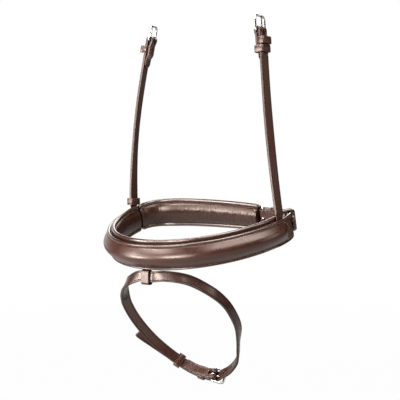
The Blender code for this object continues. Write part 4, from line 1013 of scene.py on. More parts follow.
def seam_row(reach, height, share, edge, raised):
    """Stitch rows in a pad's two seam valleys, on its inner face."""
    seam = (0.5 * height - BEADS_TO_SEAM * 0.5 * (edge - GAP)) * share
    level = np.full_like(reach, SEAM_DEPTH - edge - SEAM_STITCH_OUT)
    outs = -ring_out(reach)
    return [stitch_points(ring_point(reach, level, side * seam + raised), outs)
            for side in (-1.0, 1.0)]


def nose_lining(finishes):
    """The nosepiece's padded lining, one section from end to end."""
    reach = band_reaches(LINING_REACH, LINING_END_LENGTH, 1.0)
    share = end_share(reach, LINING_REACH, LINING_END_LENGTH, LINING_END_SHARE)
    height = np.full(len(reach), LINING_HEIGHT)
    crease = np.full(len(reach), LINING_CREASE)
    return cushion("nosepiece_padded_lining", reach, share, height, LINING_EDGE, LINING_CROWN,
                   LINING_UP, crease, finishes)


def pad_shape(step):
    """Reaches along the chin pad with its height, crown and rise; its off end meets the lining."""
    middle = -PAD_START - 0.5 * PAD_LENGTH
    reach = band_reaches(0.5 * PAD_LENGTH, PAD_END_LENGTH, step, middle)
    local = reach - middle
    share = end_share(local, 0.5 * PAD_LENGTH, PAD_END_LENGTH, PAD_END_SHARE)
    own = smooth((0.5 * PAD_LENGTH - local) / PAD_BLEND)
    height = PAD_HEIGHT * (1.0 - PAD_TAPER * (0.5 - local / PAD_LENGTH) ** 2.5)
    height = LINING_HEIGHT + (height - LINING_HEIGHT) * own
    crown = LINING_CROWN + (PAD_CROWN - LINING_CROWN) * own
    raised = LINING_UP + (PAD_UP - LINING_UP) * own
    return reach, local, share, height, crown, raised


def chin_pad(finishes):
    """The chin pad; it creases most towards its near end, where the buckle pulls it."""
    reach, local, share, height, crown, raised = pad_shape(0.8)
    crease = LINING_CREASE + PAD_NEAR_CREASE * smooth(0.5 - local / PAD_LENGTH)
    return cushion("chin_padded_leather", reach, share, height, PAD_EDGE, crown, raised, crease,
                   finishes)


def nosepiece(finishes, nodes):
    """The nosepiece's layers, the chin pad, and the rows of stitches that close them."""
    wear_on(nose_panel(finishes), "noseband", ["nose_panel"])
    wear_on(nose_backing(finishes), "noseband", ["nose_backing"])
    lining = wear_on(nose_lining(finishes), "noseband", ["nose_lining"])
    pad = wear_on(chin_pad(finishes), "noseband", ["chin_pad"])
    nodes["nose_core"].data.materials.clear()
    nodes["nose_core"].data.materials.append(finishes["felt"])

    stop = PANEL_REACH - PANEL_ROW_STOP
    straight = np.linspace(-stop, stop, 400)
    angle = np.linspace(-0.46 * math.pi, 0.46 * math.pi, 60)
    lines = [(straight, np.full_like(straight, side * PANEL_STITCH_UP)) for side in (-1.0, 1.0)]
    lines += [(side * (END_ROW_AT + END_ROW_BULGE * np.cos(angle)), END_ROW_UP * np.sin(angle))
              for side in (-1.0, 1.0)]
    rows = [stitch_points(ring_point(reach, panel_out(reach, up), up), ring_out(reach))
            for reach, up in lines]
    sew("nosepiece_stitches", rows, finishes, "noseband")

    stop = LINING_REACH - LINING_ROW_STOP
    straight = np.linspace(-stop, stop, 340)
    rows = seam_row(straight, np.full_like(straight, LINING_HEIGHT), 1.0, LINING_EDGE, LINING_UP)
    reach, _, share, height, _, raised = pad_shape(1.0)
    inner = slice(9, -9)
    rows += seam_row(reach[inner], height[inner], share[inner], PAD_EDGE, raised[inner])
    sew("padding_stitches", rows, finishes, "noseband")


# Cheek straps

def cheek_ribbon(side, bow, turns):
    """Middle line of a cheek strap from its sewn foot up to its buckle bar, and a bit past."""
    reach = side * FOOT_REACH
    foot_out = ring_out(reach)
    exit_point = ring_point(reach, SEWN_AT - 0.05, 0.5 * PANEL_HEIGHT)
    top = np.array([side * (BAR_HALF_SPACING + fold_radius(CHEEK_THICKNESS)), 0.0, 0.0])
    rise = top[2] - exit_point[2]
    straight_from = 1.0 - CHEEK_STRAIGHT_TOP / rise
    share = np.linspace(0.0, 1.0, 25)
    bent = np.minimum(share, straight_from)
    lean = bent + bow * bent * (1.0 - bent)
    lean += (1.0 + bow * (1.0 - 2.0 * straight_from)) * (share - bent)
    lean /= lean[-1]
    free = np.stack([exit_point[0] + (top[0] - exit_point[0]) * lean,
                     exit_point[1] + (top[1] - exit_point[1]) * share,
                     exit_point[2] + rise * share], axis=-1)
    beyond = free[-1] + unit(free[-1] - free[-2]) * CHEEK_PAST_BAR
    start = unit(free[1] - free[0])
    sewn_way = unit(start - foot_out * np.dot(start, foot_out))
    depth = np.linspace(FOOT_DEPTH, 2.0, 6)[:, None]
    places = np.concatenate([exit_point - sewn_way * depth, free, [beyond]])
    share = np.concatenate([np.zeros(len(depth)), share, [1.0]])
    facing = 0.0 if side > 0 else math.pi
    lower, upper = (facing + math.radians(turn) for turn in turns)
    turning = straight_from - CHEEK_TURN_FROM - CHEEK_TURN_SPARE
    turn = lower + (upper - lower) * smooth((share - CHEEK_TURN_FROM) / turning)
    face = np.stack([np.cos(turn), np.sin(turn), np.zeros_like(turn)], axis=-1)
    settle = smooth(share / CHEEK_TURN_FROM)[:, None]
    outs = unit(foot_out * (1.0 - settle) + face * settle)
    ways = unit(np.gradient(places, axis=0))
    return Ribbon(places, outs, np.cross(ways, outs))


def cheek_strap(name, ribbon, finishes):
    """One cheek strap, thinned at its sewn foot and at its folded tail, with its stitching."""
    radius = fold_radius(CHEEK_THICKNESS)
    bar_at = ribbon.along[-2]
    inner = sewn_layer(CHEEK_THICKNESS)
    past_keeper = bar_at - CHEEK_KEEPER_DROP - KEEPER_HEIGHT - KEEPER_CLEAR
    pressed = -(0.5 * CHEEK_THICKNESS + GAP + 0.5 * CHEEK_TAIL_THICKNESS)
    front = runs([(0.0, 0.0), (bar_at, 0.0)])
    bend = fold((bar_at, -radius), radius, radius)[1:]
    tail = runs([(bar_at, -2.0 * radius), (bar_at - FOLD_EASE, inner), (past_keeper, inner),
                 (past_keeper - SKIVE_RUN, pressed), (bar_at - CHEEK_TAIL, pressed)])[1:]
    path = np.concatenate([front, bend, tail])
    sewn = 1.0 - smooth((path[:, 0] - (FOOT_DEPTH + FOOT_CLEAR)) / SKIVE_RUN)
    sewn[len(front):] = 0.0
    skived = smooth((past_keeper - path[:, 0]) / SKIVE_RUN)
    skived[:-len(tail)] = 0.0
    thickness = (CHEEK_THICKNESS + (FOOT_THICKNESS - CHEEK_THICKNESS) * sewn
                 + (CHEEK_TAIL_THICKNESS - CHEEK_THICKNESS) * skived)
    width = (pointed(lengths_left(path), CHEEK_WIDTH, CHEEK_TIP)
             - (CHEEK_WIDTH - FOOT_WIDTH) * sewn)
    track = Track(ribbon, path, width, thickness)
    made = strap(name + "_cheek_leather", track, finishes, [fold_slot(track, len(front), radius)],
                 face="strap")
    wear_on(made, "noseband", [name + "_cheek_strap"])
    fold_out = track.length[len(front)]
    fold_in = track.length[len(front) + len(bend) - 1]
    rows = (strap_rows(track, fold_out - CHEEK_TAIL + TAIL_STOP, fold_out - ROW_STOP)
            + strap_rows(track, fold_in + FOLD_EASE, track.length[-1] - ROW_STOP))
    sew(name + "_cheek_stitches", rows, finishes, "noseband")


# Keepers and buckles

def keeper(name, ribbon, at, low, high, strap_width, finishes, body, low_wall=KEEPER_WALL,
           lift=0.0, corner=0.8):
    """A leather keeper: a rounded outline carried round the strap, its band with eased edges.

    A point is the hollow's outline, moved along its normal by the wall's share and along the
    strap by the profile's height.
    """
    place, out, across, _ = ribbon.frame(at)
    along = np.cross(across, out)
    place = place + across * lift
    half = 0.5 * strap_width + GAP
    turn = np.linspace(0.0, 0.5 * math.pi, 6)
    corners = ((half - corner, high - corner), (-half + corner, high - corner),
               (-half + corner, low + corner), (half - corner, low + corner))
    outline = np.concatenate([
        np.stack([a + corner * np.cos(turn + quarter * 0.5 * math.pi),
                  b + corner * np.sin(turn + quarter * 0.5 * math.pi),
                  np.cos(turn + quarter * 0.5 * math.pi),
                  np.sin(turn + quarter * 0.5 * math.pi)], axis=-1)
        for quarter, (a, b) in enumerate(corners)])
    wall = KEEPER_WALL + (low_wall - KEEPER_WALL) * np.clip(-outline[:, 3], 0.0, 1.0)
    h = 0.5 * KEEPER_HEIGHT
    profile = np.array([(-h + 0.25, 0.0), (h - 0.25, 0.0), (h, 0.25), (h, 0.65), (h - 0.3, 1.0),
                        (h - 0.85, 1.0), (h - 1.15, 0.86), (h - 1.45, 1.0), (0.0, 1.03),
                        (-h + 1.45, 1.0), (-h + 1.15, 0.86), (-h + 0.85, 1.0), (-h + 0.3, 1.0),
                        (-h, 0.65), (-h, 0.25)])
    reach = wall[:, None] * profile[None, :, 1]
    a = outline[:, None, 0] + outline[:, None, 2] * reach
    b = outline[:, None, 1] + outline[:, None, 3] * reach
    grid = (place + across * a[..., None] + out * b[..., None]
            + along * np.tile(profile[:, 0], (len(outline), 1))[..., None])
    marks = np.zeros(len(profile), dtype=int)
    marks[[1, 2, 3, -3, -2, -1]] = 1
    made = skin(name + "_leather", grid, [finishes["bridle"], finishes["edge"]], closed=True,
                marks=marks)
    return wear_on(made, body, [name])


def wire(name, places, radii, way_side, material, sides, closed=False):
    """A round wire: circles carried along points that lie in one plane."""
    if closed:
        ahead = unit(np.roll(places, -1, axis=0) - np.roll(places, 1, axis=0))
    else:
        ahead = unit(np.gradient(places, axis=0))
    inward = np.cross(ahead, unit(way_side))
    turn = np.linspace(0.0, 2.0 * math.pi, sides, endpoint=False)
    grid = (places[:, None, :]
            + radii[:, None, None] * (np.cos(turn)[None, :, None] * unit(way_side)
                                      + np.sin(turn)[None, :, None] * inward[:, None, :]))
    return skin(name, grid, [material], closed=closed)


def buckle_frame(name, bar, reach, side, clear_width, length, corner, finishes, body):
    """A bent wire: a thinner bar, two sides with eased corners, and a rounded far end."""
    half = 0.5 * clear_width + WIRE_RADIUS
    ease = 1.6
    bend = np.linspace(0.0, 0.5 * math.pi, 7)
    turn = np.linspace(0.0, 0.5 * math.pi, 12)
    far = length - corner
    sides = np.linspace(ease, far, 8)[1:-1]
    half_bar = np.linspace(0.0, half - ease, 9)[:-1]
    outline = np.concatenate([
        np.stack([np.zeros_like(half_bar), half_bar], axis=-1),
        np.stack([ease - ease * np.cos(bend), half - ease + ease * np.sin(bend)], axis=-1),
        np.stack([sides, np.full_like(sides, half)], axis=-1),
        np.stack([far + corner * np.sin(turn), half - corner + corner * np.cos(turn)], axis=-1)])
    mirrored = outline[::-1][:-1] * np.array([1.0, -1.0])
    far_run = np.linspace(half - corner, -(half - corner), 7)[1:-1]
    far_end = np.stack([np.full_like(far_run, length), far_run], axis=-1)
    points = np.concatenate([outline, far_end, mirrored])
    thick = smooth((np.abs(points[:, 1]) - (half - 3.0)) / 2.0 + points[:, 0] / 2.0)
    radii = BAR_RADIUS + (WIRE_RADIUS - BAR_RADIUS) * thick
    places = bar + points[:, :1] * reach + points[:, 1:] * side
    made = wire(name + "_nickel", places, radii, np.cross(reach, side), finishes["nickel"], 20,
                closed=True)
    return wear_on(made, body, [name])


def buckle_tongue(name, bar, reach, face, side, length, finishes, body):
    """A wire wrapped round the bar that runs out to rest on the frame's far end."""
    wrap = BAR_RADIUS + TONGUE_CLEARANCE + TONGUE_RADIUS
    tip_level = WIRE_RADIUS + GAP + TONGUE_TIP_RADIUS
    turn = np.radians(np.linspace(*TONGUE_WRAP, 34))
    curl = np.stack([wrap * np.cos(turn), wrap * np.sin(turn)], axis=-1)
    share = np.linspace(0.0, 1.0, 26)[1:]
    last = curl[-1]
    blade = np.stack([last[0] + (length + TONGUE_PAST - last[0]) * share,
                      last[1] + (tip_level - last[1]) * smooth(share)], axis=-1)
    path = np.concatenate([curl, blade])
    radii = np.concatenate([np.full(len(curl), TONGUE_RADIUS),
                            TONGUE_RADIUS + (TONGUE_TIP_RADIUS - TONGUE_RADIUS) * share])
    closing = np.array([0.97, 0.80, 0.45])
    radii[-3:] *= closing
    radii[:3] *= closing[::-1]
    places = bar + path[:, :1] * reach + path[:, 1:] * face
    made = wire(name + "_nickel", places, radii, side, finishes["nickel"], 14)
    return wear_on(made, body, [name])


def buckle(name, bar, along, out, across, tilt, clear_width, length, corner, finishes):
    """Frame and tongue on a bar, the frame tilted out from the strap."""
    reach = along * math.cos(tilt) + out * math.sin(tilt)
    face = out * math.cos(tilt) - along * math.sin(tilt)
    buckle_frame(name + "_buckle_frame", bar, reach, across, clear_width, length, corner,
                 finishes, name + "_buckle")
    buckle_tongue(name + "_buckle_tongue", bar, reach, face, across, length, finishes,
                  name + "_tongue")


def cheek(name, side, finishes, bow, turns, runner_drop, over_tail):
    """One cheek strap with its buckle, its sewn keeper and its sliding keeper.

    The sliding keeper goes round the strap's folded tail too where it stands over it.
    """
    ribbon = cheek_ribbon(side, bow, turns)
    cheek_strap(name, ribbon, finishes)
    bar_at = ribbon.along[-2]
    _, out, across, along = ribbon.frame(bar_at)
    bar = ribbon.point(bar_at, -fold_radius(CHEEK_THICKNESS))
    buckle(name + "_cheek", bar, along, out, across, 0.0, CHEEK_WIDTH + CHEEK_BUCKLE_ROOM,
           CHEEK_BUCKLE_LENGTH, CHEEK_BUCKLE_CORNER, finishes)
    face = 0.5 * CHEEK_THICKNESS
    fixed_at = bar_at - CHEEK_KEEPER_DROP - 0.5 * KEEPER_HEIGHT
    keeper(name + "_cheek_fixed_keeper", ribbon, fixed_at, -face - GAP, face + BILLET_ROOM,
           CHEEK_WIDTH, finishes, "noseband", KEEPER_SEWN)
    low = -face - 0.45 * BILLET_ROOM
    if over_tail:
        low = sewn_layer(CHEEK_THICKNESS) - face - GAP
    keeper(name + "_cheek_runner_keeper", ribbon, bar_at - runner_drop, low,
           face + 0.5 * BILLET_ROOM, CHEEK_WIDTH, finishes, name + "_cheek_runner")


# Chin strap and its buckle strap; levels are outwards from the ring's middle line

CHIN_FOLD = fold_radius(CHIN_THICKNESS)
CHIN_BAR_OUT = CHIN_LEVEL - CHIN_FOLD
CHIN_LYING = 0.5 * CHIN_THICKNESS + GAP
CHIN_INNER = CHIN_LEVEL + sewn_layer(CHIN_THICKNESS)
CHIN_BESIDE = CHIN_LEVEL + CHIN_THICKNESS + 0.5
CHIN_ON_PANEL = PANEL_OUTER + 0.4 + 0.5 * CHIN_THICKNESS
CHIN_OVER, CHIN_FAR_END = threaded_levels(CHIN_THICKNESS, CHIN_LYING - CHIN_BAR_OUT)
CHIN_ORIGIN = CHAPE_START - RIBBON_SPARE


def chin_lift(reach):
    """How far above the ring's own middle the near side's straps lie."""
    lowered = smooth((reach - PANEL_REACH) / (CHIN_BAR_REACH - PANEL_REACH))
    settled = smooth((reach - CHIN_BAR_REACH) / CHIN_SETTLE)
    return (CHIN_LIFT - (CHIN_LIFT + CHIN_SAG) * lowered) * (1.0 - settled)


def chin_thickness(reach):
    """Thickness of a chin strap's end: skived under the nosepiece, whole once it is clear."""
    sewn = 1.0 - smooth((reach - BACKING_REACH) / CHIN_SKIVE_RUN)
    return CHIN_THICKNESS + (SKIVED - CHIN_THICKNESS) * sewn


def chin_buckle_strap(ribbon, finishes):
    """The near side's buckle strap: out from under the nosepiece, round the bar and back."""
    bar_at = CHIN_BAR_REACH
    front = runs([(CHAPE_START, CHIN_LEVEL), (bar_at, CHIN_LEVEL)])
    bend = fold((bar_at, CHIN_BAR_OUT), CHIN_FOLD, CHIN_FOLD)[1:]
    tail = runs([(bar_at, CHIN_LEVEL - 2.0 * CHIN_FOLD), (bar_at - FOLD_EASE, CHIN_INNER),
                 (CHIN_TAIL_END, CHIN_INNER)])[1:]
    path = np.concatenate([front, bend, tail])
    thickness = chin_thickness(path[:, 0])
    thickness[len(front):] = CHIN_THICKNESS
    path[:, 1] += 0.5 * (CHIN_THICKNESS - thickness)
    lift = chin_lift(path[:, 0])
    path[:, 0] -= CHIN_ORIGIN
    track = Track(ribbon, path, CHIN_WIDTH, thickness, lift)
    made = strap("chin_buckle_strap_leather", track, finishes,
                 [fold_slot(track, len(front), CHIN_FOLD)])
    wear_on(made, "noseband", ["chin_buckle_strap"])
    past_runner = np.argmin(np.abs(front[:, 0] - PANEL_REACH - CHIN_ROW_PAST))
    tail_start = track.length[len(front) + len(bend) + 1]
    rows = (strap_rows(track, track.length[past_runner], track.length[len(front)] - ROW_STOP)
            + strap_rows(track, tail_start + CHIN_TAIL_ROW[0],
                         track.length[-1] - CHIN_TAIL_ROW[1]))
    sew("chin_buckle_strap_stitches", rows, finishes, "noseband")


def chin_strap(finishes):
    """The chin strap, from under the nosepiece's off end to its free end on the near side.

    Reaches past half the ring's girth go on from the near side less one whole turn.
    """
    first = RIBBON_SPARE - CHAPE_START
    tip, bar_at, panel_end = (reach - RING_GIRTH
                              for reach in (CHIN_TIP_REACH, CHIN_BAR_REACH, PANEL_REACH))
    off_end = [-PANEL_REACH - ease for ease in CHIN_OFF_EASE]
    path = runs([(-CHAPE_START, CHIN_LEVEL), (off_end[0], CHIN_LEVEL), (off_end[1], CHIN_LYING)]
                + threaded(bar_at + CHIN_BUCKLE_LENGTH, bar_at, -1.0, CHIN_LYING,
                           CHIN_BAR_OUT + CHIN_OVER, CHIN_BESIDE)
                + [(panel_end + CHIN_STEP_UP, CHIN_BESIDE), (panel_end, CHIN_ON_PANEL),
                   (tip, CHIN_ON_PANEL)])
    reach = path[:, 0].copy()
    thickness = chin_thickness(-reach)
    path[:, 1] += 0.5 * (CHIN_THICKNESS - thickness)
    width = pointed(lengths_left(path), CHIN_WIDTH, CHIN_TIP)
    lift = np.where(reach < -0.5 * RING_GIRTH, chin_lift(reach + RING_GIRTH), 0.0)
    path[:, 0] = first - reach
    track = Track(ring_ribbon(first, tip - RIBBON_SPARE), path, width, thickness, lift)
    hole = np.interp(-(bar_at + CHIN_HOLE_AT), -reach, track.length)
    made = strap("chin_strap_leather", track, finishes, sorted(punched(hole, (-2, -1, 1, 2))))
    wear_on(made, "noseband", ["chin_strap"])
    sew("chin_strap_stitches", strap_rows(track, *CHIN_OFF_ROW), finishes, "noseband")


def chin_fastening(finishes):
    """Both straps of the chin with their buckle and the near side's two keepers."""
    ribbon = ring_ribbon(CHIN_ORIGIN, CHIN_BAR_REACH + 3.0 * RIBBON_SPARE)
    chin_buckle_strap(ribbon, finishes)
    chin_strap(finishes)
    bar_at = CHIN_BAR_REACH - CHIN_ORIGIN
    _, out, across, along = ribbon.frame(bar_at)
    bar = ribbon.point(bar_at, CHIN_BAR_OUT) - across * CHIN_SAG
    buckle("chin", bar, along, out, across, math.asin(CHIN_FAR_END / CHIN_BUCKLE_LENGTH),
           CHIN_WIDTH + CHIN_BUCKLE_ROOM, CHIN_BUCKLE_LENGTH, CHIN_BUCKLE_CORNER, finishes)
    half = 0.5 * CHIN_THICKNESS
    fixed_at = CHIN_BAR_REACH - CHIN_FIXED_KEEPER
    keeper("chin_fixed_keeper", ribbon, fixed_at - CHIN_ORIGIN, CHIN_LEVEL - half - GAP,
           CHIN_BESIDE + half + 0.5, CHIN_WIDTH + 0.7, finishes, "noseband", KEEPER_SEWN,
           float(chin_lift(fixed_at)))
    runner_at = PANEL_REACH + CHIN_RUNNER_KEEPER
    keeper("chin_runner_keeper", ribbon, runner_at - CHIN_ORIGIN, CHIN_INNER - half - 0.9,
           CHIN_ON_PANEL + half + 0.6, CHIN_WIDTH + 0.5, finishes, "chin_runner",
           lift=float(chin_lift(runner_at)), corner=1.5)


# Flash strap and the loop that carries it

def loop_centre():
    """Where the flash strap passes under the nosepiece."""
    edge = ring_point(LOOP_ASIDE, SEWN_AT, -0.5 * PANEL_HEIGHT)
    return edge + np.array([0.0, 0.0, -LOOP_HANG])


def flash_ribbon():
    """The flash strap's closed middle line: a Catmull-Rom curve through its stations, twice."""
    centre = loop_centre()
    places = np.array([place for place, _ in FLASH_STATIONS], dtype=float)
    edges = unit(np.array([edge for _, edge in FLASH_STATIONS], dtype=float))
    share = np.linspace(0.0, 1.0, CURVE_STEPS, endpoint=False)[:, None]
    cubic = 0.5 * np.stack([-share + 2 * share ** 2 - share ** 3,
                            2 - 5 * share ** 2 + 3 * share ** 3,
                            share + 4 * share ** 2 - 3 * share ** 3,
                            -share ** 2 + share ** 3])
    around = [np.roll(places, shift, axis=0)[:, None, :] for shift in (1, 0, -1, -2)]
    curve = sum(weight[None] * corner for weight, corner in zip(cubic, around))
    curve[-1] = places[-1] + (places[0] - places[-1]) * share
    blend = smooth(share)[None]
    turned = (1.0 - blend) * edges[:, None, :] + blend * np.roll(edges, -1, axis=0)[:, None, :]
    half_turn = (len(places) - 1) * CURVE_STEPS + CURVE_STEPS // 2
    points, across = (np.roll(np.tile(table.reshape(-1, 3), (2, 1)), -half_turn, axis=0)
                      for table in (curve, turned))
    points = centre + points
    ways = unit(np.gradient(points, axis=0))
    across = unit(across - ways * np.sum(across * ways, axis=1, keepdims=True))
    outs = np.cross(ways, across)
    middle = centre + places.mean(axis=0)
    outs = outs * np.sign(np.sum(outs * (points - middle), axis=1).sum())
    return Ribbon(points, outs, across)


def flash_strap(ribbon, lap, under, over, beside, finishes):
    """The flash strap: its folded end, one lap of the hoop, and its free end past the buckle."""
    bar_at = FLASH_BAR_AT
    far_end_at = lap + bar_at - FLASH_BUCKLE_LENGTH
    radius = fold_radius(FLASH_THICKNESS)
    inner = sewn_layer(FLASH_THICKNESS)
    end = lap + bar_at + FLASH_OVERLAP
    free = lap + bar_at + FLASH_FREE_FROM
    tail = runs([(bar_at + FLASH_TAIL, inner), (bar_at + FOLD_EASE, inner),
                 (bar_at, -2.0 * radius)])
    bend = fold((bar_at, -radius), radius, -FLASH_FOLD_REACH)[-2::-1]
    hoop = runs([(bar_at, 0.0), (far_end_at - FLASH_RISE, 0.0)]
                + threaded(far_end_at, lap + bar_at, 1.0, under, over, beside)
                + [(end, beside)])[1:]
    path = np.concatenate([tail, bend, hoop])
    loose = np.clip((path[:, 0] - free) / (end - free), 0.0, 1.0) ** FLASH_LOOSE_POWER
    path[:, 1] += FLASH_FREE_OUT * loose
    width = pointed(lengths_left(path), FLASH_WIDTH, FLASH_TIP, FLASH_TIP_SHARE)
    track = Track(ribbon, path, width, FLASH_THICKNESS, -FLASH_FREE_DOWN * loose)
    second_lap = path[:, 0] > lap
    hole = np.interp(lap + bar_at - FLASH_HOLE_AT, path[second_lap, 0], track.length[second_lap])
    holes = [fold_slot(track, len(tail), radius)] + punched(hole, (-2, -1, 1, 2, 3))
    made = strap("flash_strap_leather", track, finishes, sorted(holes), back_crease=True)
    wear_on(made, "flash", ["flash_strap"])
    tail_end = track.length[len(tail)] - FOLD_EASE
    fold_out = track.length[len(tail) + len(bend) - 1]
    rows = (strap_rows(track, ROW_STOP, tail_end, -1.0) + strap_rows(track, ROW_STOP, tail_end)
            + strap_rows(track, fold_out + ROW_STOP, fold_out + FLASH_TAIL - TAIL_STOP))
    sew("flash_strap_stitches", rows, finishes, "flash")


def flash(finishes):
    """The flash strap with its buckle and its two keepers."""
    ribbon = flash_ribbon()
    lap = 0.5 * (ribbon.along[-1] + np.linalg.norm(ribbon.places[0] - ribbon.places[-1]))
    bar_out = -fold_radius(FLASH_THICKNESS)
    under = -bar_out - 0.8
    over, far_end = threaded_levels(FLASH_THICKNESS, under)
    beside = FLASH_THICKNESS + 0.4
    flash_strap(ribbon, lap, bar_out + under, bar_out + over, beside, finishes)
    _, out, across, along = ribbon.frame(FLASH_BAR_AT)
    buckle("flash", ribbon.point(FLASH_BAR_AT, bar_out), -along, out, across,
           math.asin(far_end / FLASH_BUCKLE_LENGTH), FLASH_WIDTH + FLASH_BUCKLE_ROOM,
           FLASH_BUCKLE_LENGTH, FLASH_BUCKLE_CORNER, finishes)
    half = 0.5 * FLASH_THICKNESS
    high = beside + half + 0.5
    keeper("flash_fixed_keeper", ribbon, FLASH_BAR_AT + FLASH_FIXED_KEEPER, -half - GAP, high,
           FLASH_WIDTH, finishes, "flash", KEEPER_SEWN)
    keeper("flash_runner_keeper", ribbon, FLASH_BAR_AT + FLASH_TAIL + FLASH_RUNNER_KEEPER,
           -half - 0.8, high + 0.3, FLASH_WIDTH + 1.5, finishes, "flash_runner")


def flash_loop(finishes):
    """A leather loop round the flash strap: a rounded U, both ends sewn in under the nosepiece."""
    centre = loop_centre()
    front = 0.5 * FLASH_THICKNESS + 0.7 + 0.5 * LOOP_THICKNESS
    top = 0.5 * FLASH_WIDTH - 0.2
    bottom = 0.5 * FLASH_WIDTH + 1.7 + 0.5 * LOOP_THICKNESS
    layer = 0.5 * (LOOP_SKIVED + GAP)
    edge = 0.5 * PANEL_HEIGHT
    corner = 1.6
    turn = np.linspace(0.0, 0.5 * math.pi, 9)[1:]
    heights = np.array([top, top - 1.4, 4.0, 1.0, -2.0, -5.0, corner - bottom])
    side = np.stack([np.zeros_like(heights), np.full_like(heights, -front), heights], axis=-1)
    arc = np.stack([np.zeros_like(turn), -front + corner - corner * np.cos(turn),
                    corner - bottom - corner * np.sin(turn)], axis=-1)
    ups = (LOOP_SEWN - edge, -edge - 0.6)
    tabs = [[ring_point(LOOP_ASIDE, SEWN_AT + way * layer, up) for up in ups]
            for way in (1.0, -1.0)]
    near_half = centre + np.concatenate([side, arc])
    far_half = near_half[::-1] * np.array([1.0, -1.0, 1.0]) + [0.0, 2.0 * centre[1], 0.0]
    path = np.concatenate([tabs[0], near_half, far_half, tabs[1][::-1]])
    thick = np.full(len(tabs[0]) + len(near_half), LOOP_THICKNESS)
    thick[:2] = LOOP_SKIVED
    thick[2] = 0.8
    thick = np.concatenate([thick, thick[::-1]])
    length = lengths(path)
    fine = np.linspace(0.0, length[-1], 90)
    path = read_along(fine, length, path)
    thick = np.interp(fine, length, thick)
    ahead = unit(np.gradient(path, axis=0))
    along_x = np.array([1.0, 0.0, 0.0])
    through = np.cross(ahead, along_x)
    x = 0.5 * LOOP_WIDTH - np.array([0.0, 0.15, 0.5, 1.0, 1.3, 1.6, 0.5 * LOOP_WIDTH])
    x = np.concatenate([-x, x[-2::-1]])
    level = np.array([0.35, 0.8, 1.0, 1.0, 0.82, 1.0, 1.0])
    level = np.concatenate([level, level[-2::-1]])
    flat = np.ones_like(level)
    flat[[0, 1, -2, -1]] = (0.35, 0.8, 0.8, 0.35)
    ups = np.concatenate([level, -flat])
    xs = np.concatenate([x, x[::-1]])
    grid = (path[:, None, :] + xs[None, :, None] * along_x
            - ups[None, :, None] * 0.5 * thick[:, None, None] * through[:, None, :])
    marks = np.zeros(len(xs), dtype=int)
    marks[[0, 1, 11, 12, 13, 14, 24, 25]] = 1
    made = skin("flash_loop_leather", grid, [finishes["bridle"], finishes["edge"]], marks=marks)
    return wear_on(made, "noseband", ["flash_loop"])


# Camera, light and floor

def camera_way():
    """The way from the noseband to the camera."""
    return np.array([math.sin(VIEW_AZIMUTH) * math.cos(VIEW_PITCH),
                     -math.cos(VIEW_AZIMUTH) * math.cos(VIEW_PITCH), math.sin(VIEW_PITCH)])


def place_camera():
    """A long lens aimed at the noseband from the photograph's side."""
    camera = bpy.data.objects.new("camera", bpy.data.cameras.new("camera"))
    bpy.context.scene.collection.objects.link(camera)
    back = camera_way()
    camera.location = (VIEW_TARGET + VIEW_DISTANCE * back) * MM
    camera.rotation_euler = Vector(-back).to_track_quat("-Z", "Y").to_euler()
    camera.data.lens = LENS
    camera.data.sensor_width = SENSOR
    camera.data.clip_start = 0.05
    bpy.context.scene.camera = camera


def area_light(name, azimuth, elevation, distance, width, height, power):
    """A soft box aimed at the noseband, placed by the way it shines from."""
    lamp = bpy.data.lights.new(name, "AREA")
    lamp.shape = "RECTANGLE"
    lamp.size = width
    lamp.size_y = height
    lamp.energy = power
    lamp.color = LAMP_COLOUR
    obj = bpy.data.objects.new(name, lamp)
    bpy.context.scene.collection.objects.link(obj)
    a, e = math.radians(azimuth), math.radians(elevation)
    way = Vector((math.sin(a) * math.cos(e), -math.cos(a) * math.cos(e), math.sin(e)))
    obj.location = Vector(VIEW_TARGET * MM) + way * distance
    obj.rotation_euler = (-way).to_track_quat("-Z", "Y").to_euler()


def plain_rays(tree):
    """The light path, and 1 for rays that see a white background: the camera's and clear ones."""
    path = node(tree, "ShaderNodeLightPath")
    plain = node(tree, "ShaderNodeMath", {"operation": "MAXIMUM"},
                 i0=path.outputs["Is Camera Ray"], i1=path.outputs["Is Transmission Ray"])
    return path, plain.outputs[0]


def make_world():
    """White to the camera; gloss sees a white backdrop and a dark room behind the camera."""
    world = bpy.data.worlds.new("studio")
    bpy.context.scene.world = world
    world.use_nodes = True
    tree = world.node_tree
    tree.nodes.clear()
    way = node(tree, "ShaderNodeTexCoord").outputs["Generated"]
    back = (math.sin(BACKDROP_AZIMUTH), -math.cos(BACKDROP_AZIMUTH), 0.0)
    facing = node(tree, "ShaderNodeVectorMath", {"operation": "DOT_PRODUCT"}, i0=way, i1=back)
    room = node(tree, "ShaderNodeMapRange", Value=facing.outputs["Value"],
                From_Min=BACKDROP_CONE[0], From_Max=BACKDROP_CONE[1], To_Min=ROOM_GLOW,
                To_Max=1.0)
    height = node(tree, "ShaderNodeSeparateXYZ", Vector=way)
    sky = node(tree, "ShaderNodeMapRange", Value=height.outputs["Z"], From_Min=BACKDROP_TOP[0],
               From_Max=BACKDROP_TOP[1], To_Min=1.0, To_Max=SKY_GLOW)
    seen_in_gloss = node(tree, "ShaderNodeMath", {"operation": "MULTIPLY"},
                         i0=room.outputs["Result"], i1=sky.outputs["Result"])
    ambient, seen, gloss = (node(tree, "ShaderNodeBackground", Color=WHITE, Strength=strength)
                            for strength in (AMBIENT_GLOW, 1.0, seen_in_gloss.outputs[0]))
    path, plain = plain_rays(tree)
    unseen = node(tree, "ShaderNodeMixShader", Fac=path.outputs["Is Glossy Ray"],
                  i1=ambient.outputs[0], i2=gloss.outputs[0])
    mixed = node(tree, "ShaderNodeMixShader", Fac=plain, i1=unseen.outputs[0],
                 i2=seen.outputs[0])
    node(tree, "ShaderNodeOutputWorld", Surface=mixed.outputs[0])


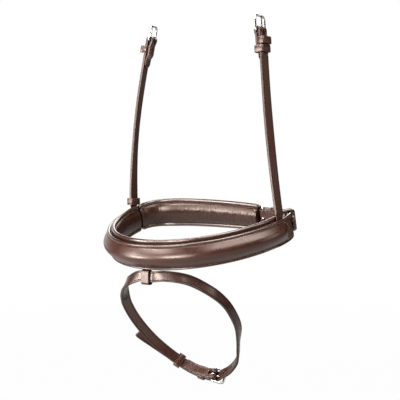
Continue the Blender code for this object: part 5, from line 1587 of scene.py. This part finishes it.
def make_floor():
    """A pale floor under the hanging noseband, near white to the camera with its shadow kept.

    Gloss sees a share of its glow, and it fades to plain white far off.
    """
    corners = FLOOR_HALF / MM * np.array([(-1.0, -1.0), (1.0, -1.0), (1.0, 1.0), (-1.0, 1.0)])
    points = np.concatenate([corners, np.full((4, 1), FLOOR_LEVEL)], axis=1)
    material, tree, shader = surface("pale_studio_floor", Base_Color=(0.3, 0.3, 0.3, 1.0),
                                     Roughness=0.9)
    glow = node(tree, "ShaderNodeEmission", Color=WHITE, Strength=1.0)
    place = node(tree, "ShaderNodeTexCoord").outputs["Object"]
    away = node(tree, "ShaderNodeVectorMath", {"operation": "LENGTH"}, i0=place)
    fade = node(tree, "ShaderNodeMapRange", Value=away.outputs["Value"],
                From_Min=FLOOR_FADE[0], From_Max=FLOOR_FADE[1], To_Min=0.97, To_Max=1.0)
    path, plain = plain_rays(tree)
    gloss = node(tree, "ShaderNodeMath", {"operation": "MULTIPLY"},
                 i0=path.outputs["Is Glossy Ray"], i1=FLOOR_GLOSS)
    seen = node(tree, "ShaderNodeMath", {"operation": "MAXIMUM"}, i0=plain, i1=gloss.outputs[0])
    share = node(tree, "ShaderNodeMath", {"operation": "MULTIPLY"}, i0=seen.outputs[0],
                 i1=fade.outputs["Result"])
    mixed = node(tree, "ShaderNodeMixShader", Fac=share.outputs[0], i1=shader.outputs[0],
                 i2=glow.outputs[0])
    tree.links.new(mixed.outputs[0], tree.nodes["Material Output"].inputs["Surface"])
    make_mesh("floor", points, [(0, 1, 2, 3)], [], [material])


def make_studio():
    """Camera, soft boxes, white world and floor."""
    place_camera()
    for name, lamp in LAMPS.items():
        area_light(name, *lamp)
    make_world()
    make_floor()
    bpy.context.scene.view_settings.view_transform = "Standard"


def main():
    for obj in list(bpy.data.objects):
        bpy.data.objects.remove(obj, do_unlink=True)
    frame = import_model()
    finishes = make_finishes()
    nosepiece(finishes, frame["nodes"])
    chin_fastening(finishes)
    cheek("near", 1.0, finishes, bow=0.45, turns=(-11.0, -7.0), runner_drop=21.45,
          over_tail=True)
    cheek("off", -1.0, finishes, bow=-1.2, turns=(15.0, 12.0), runner_drop=202.9,
          over_tail=False)
    flash_loop(finishes)
    flash(finishes)
    make_studio()


main()
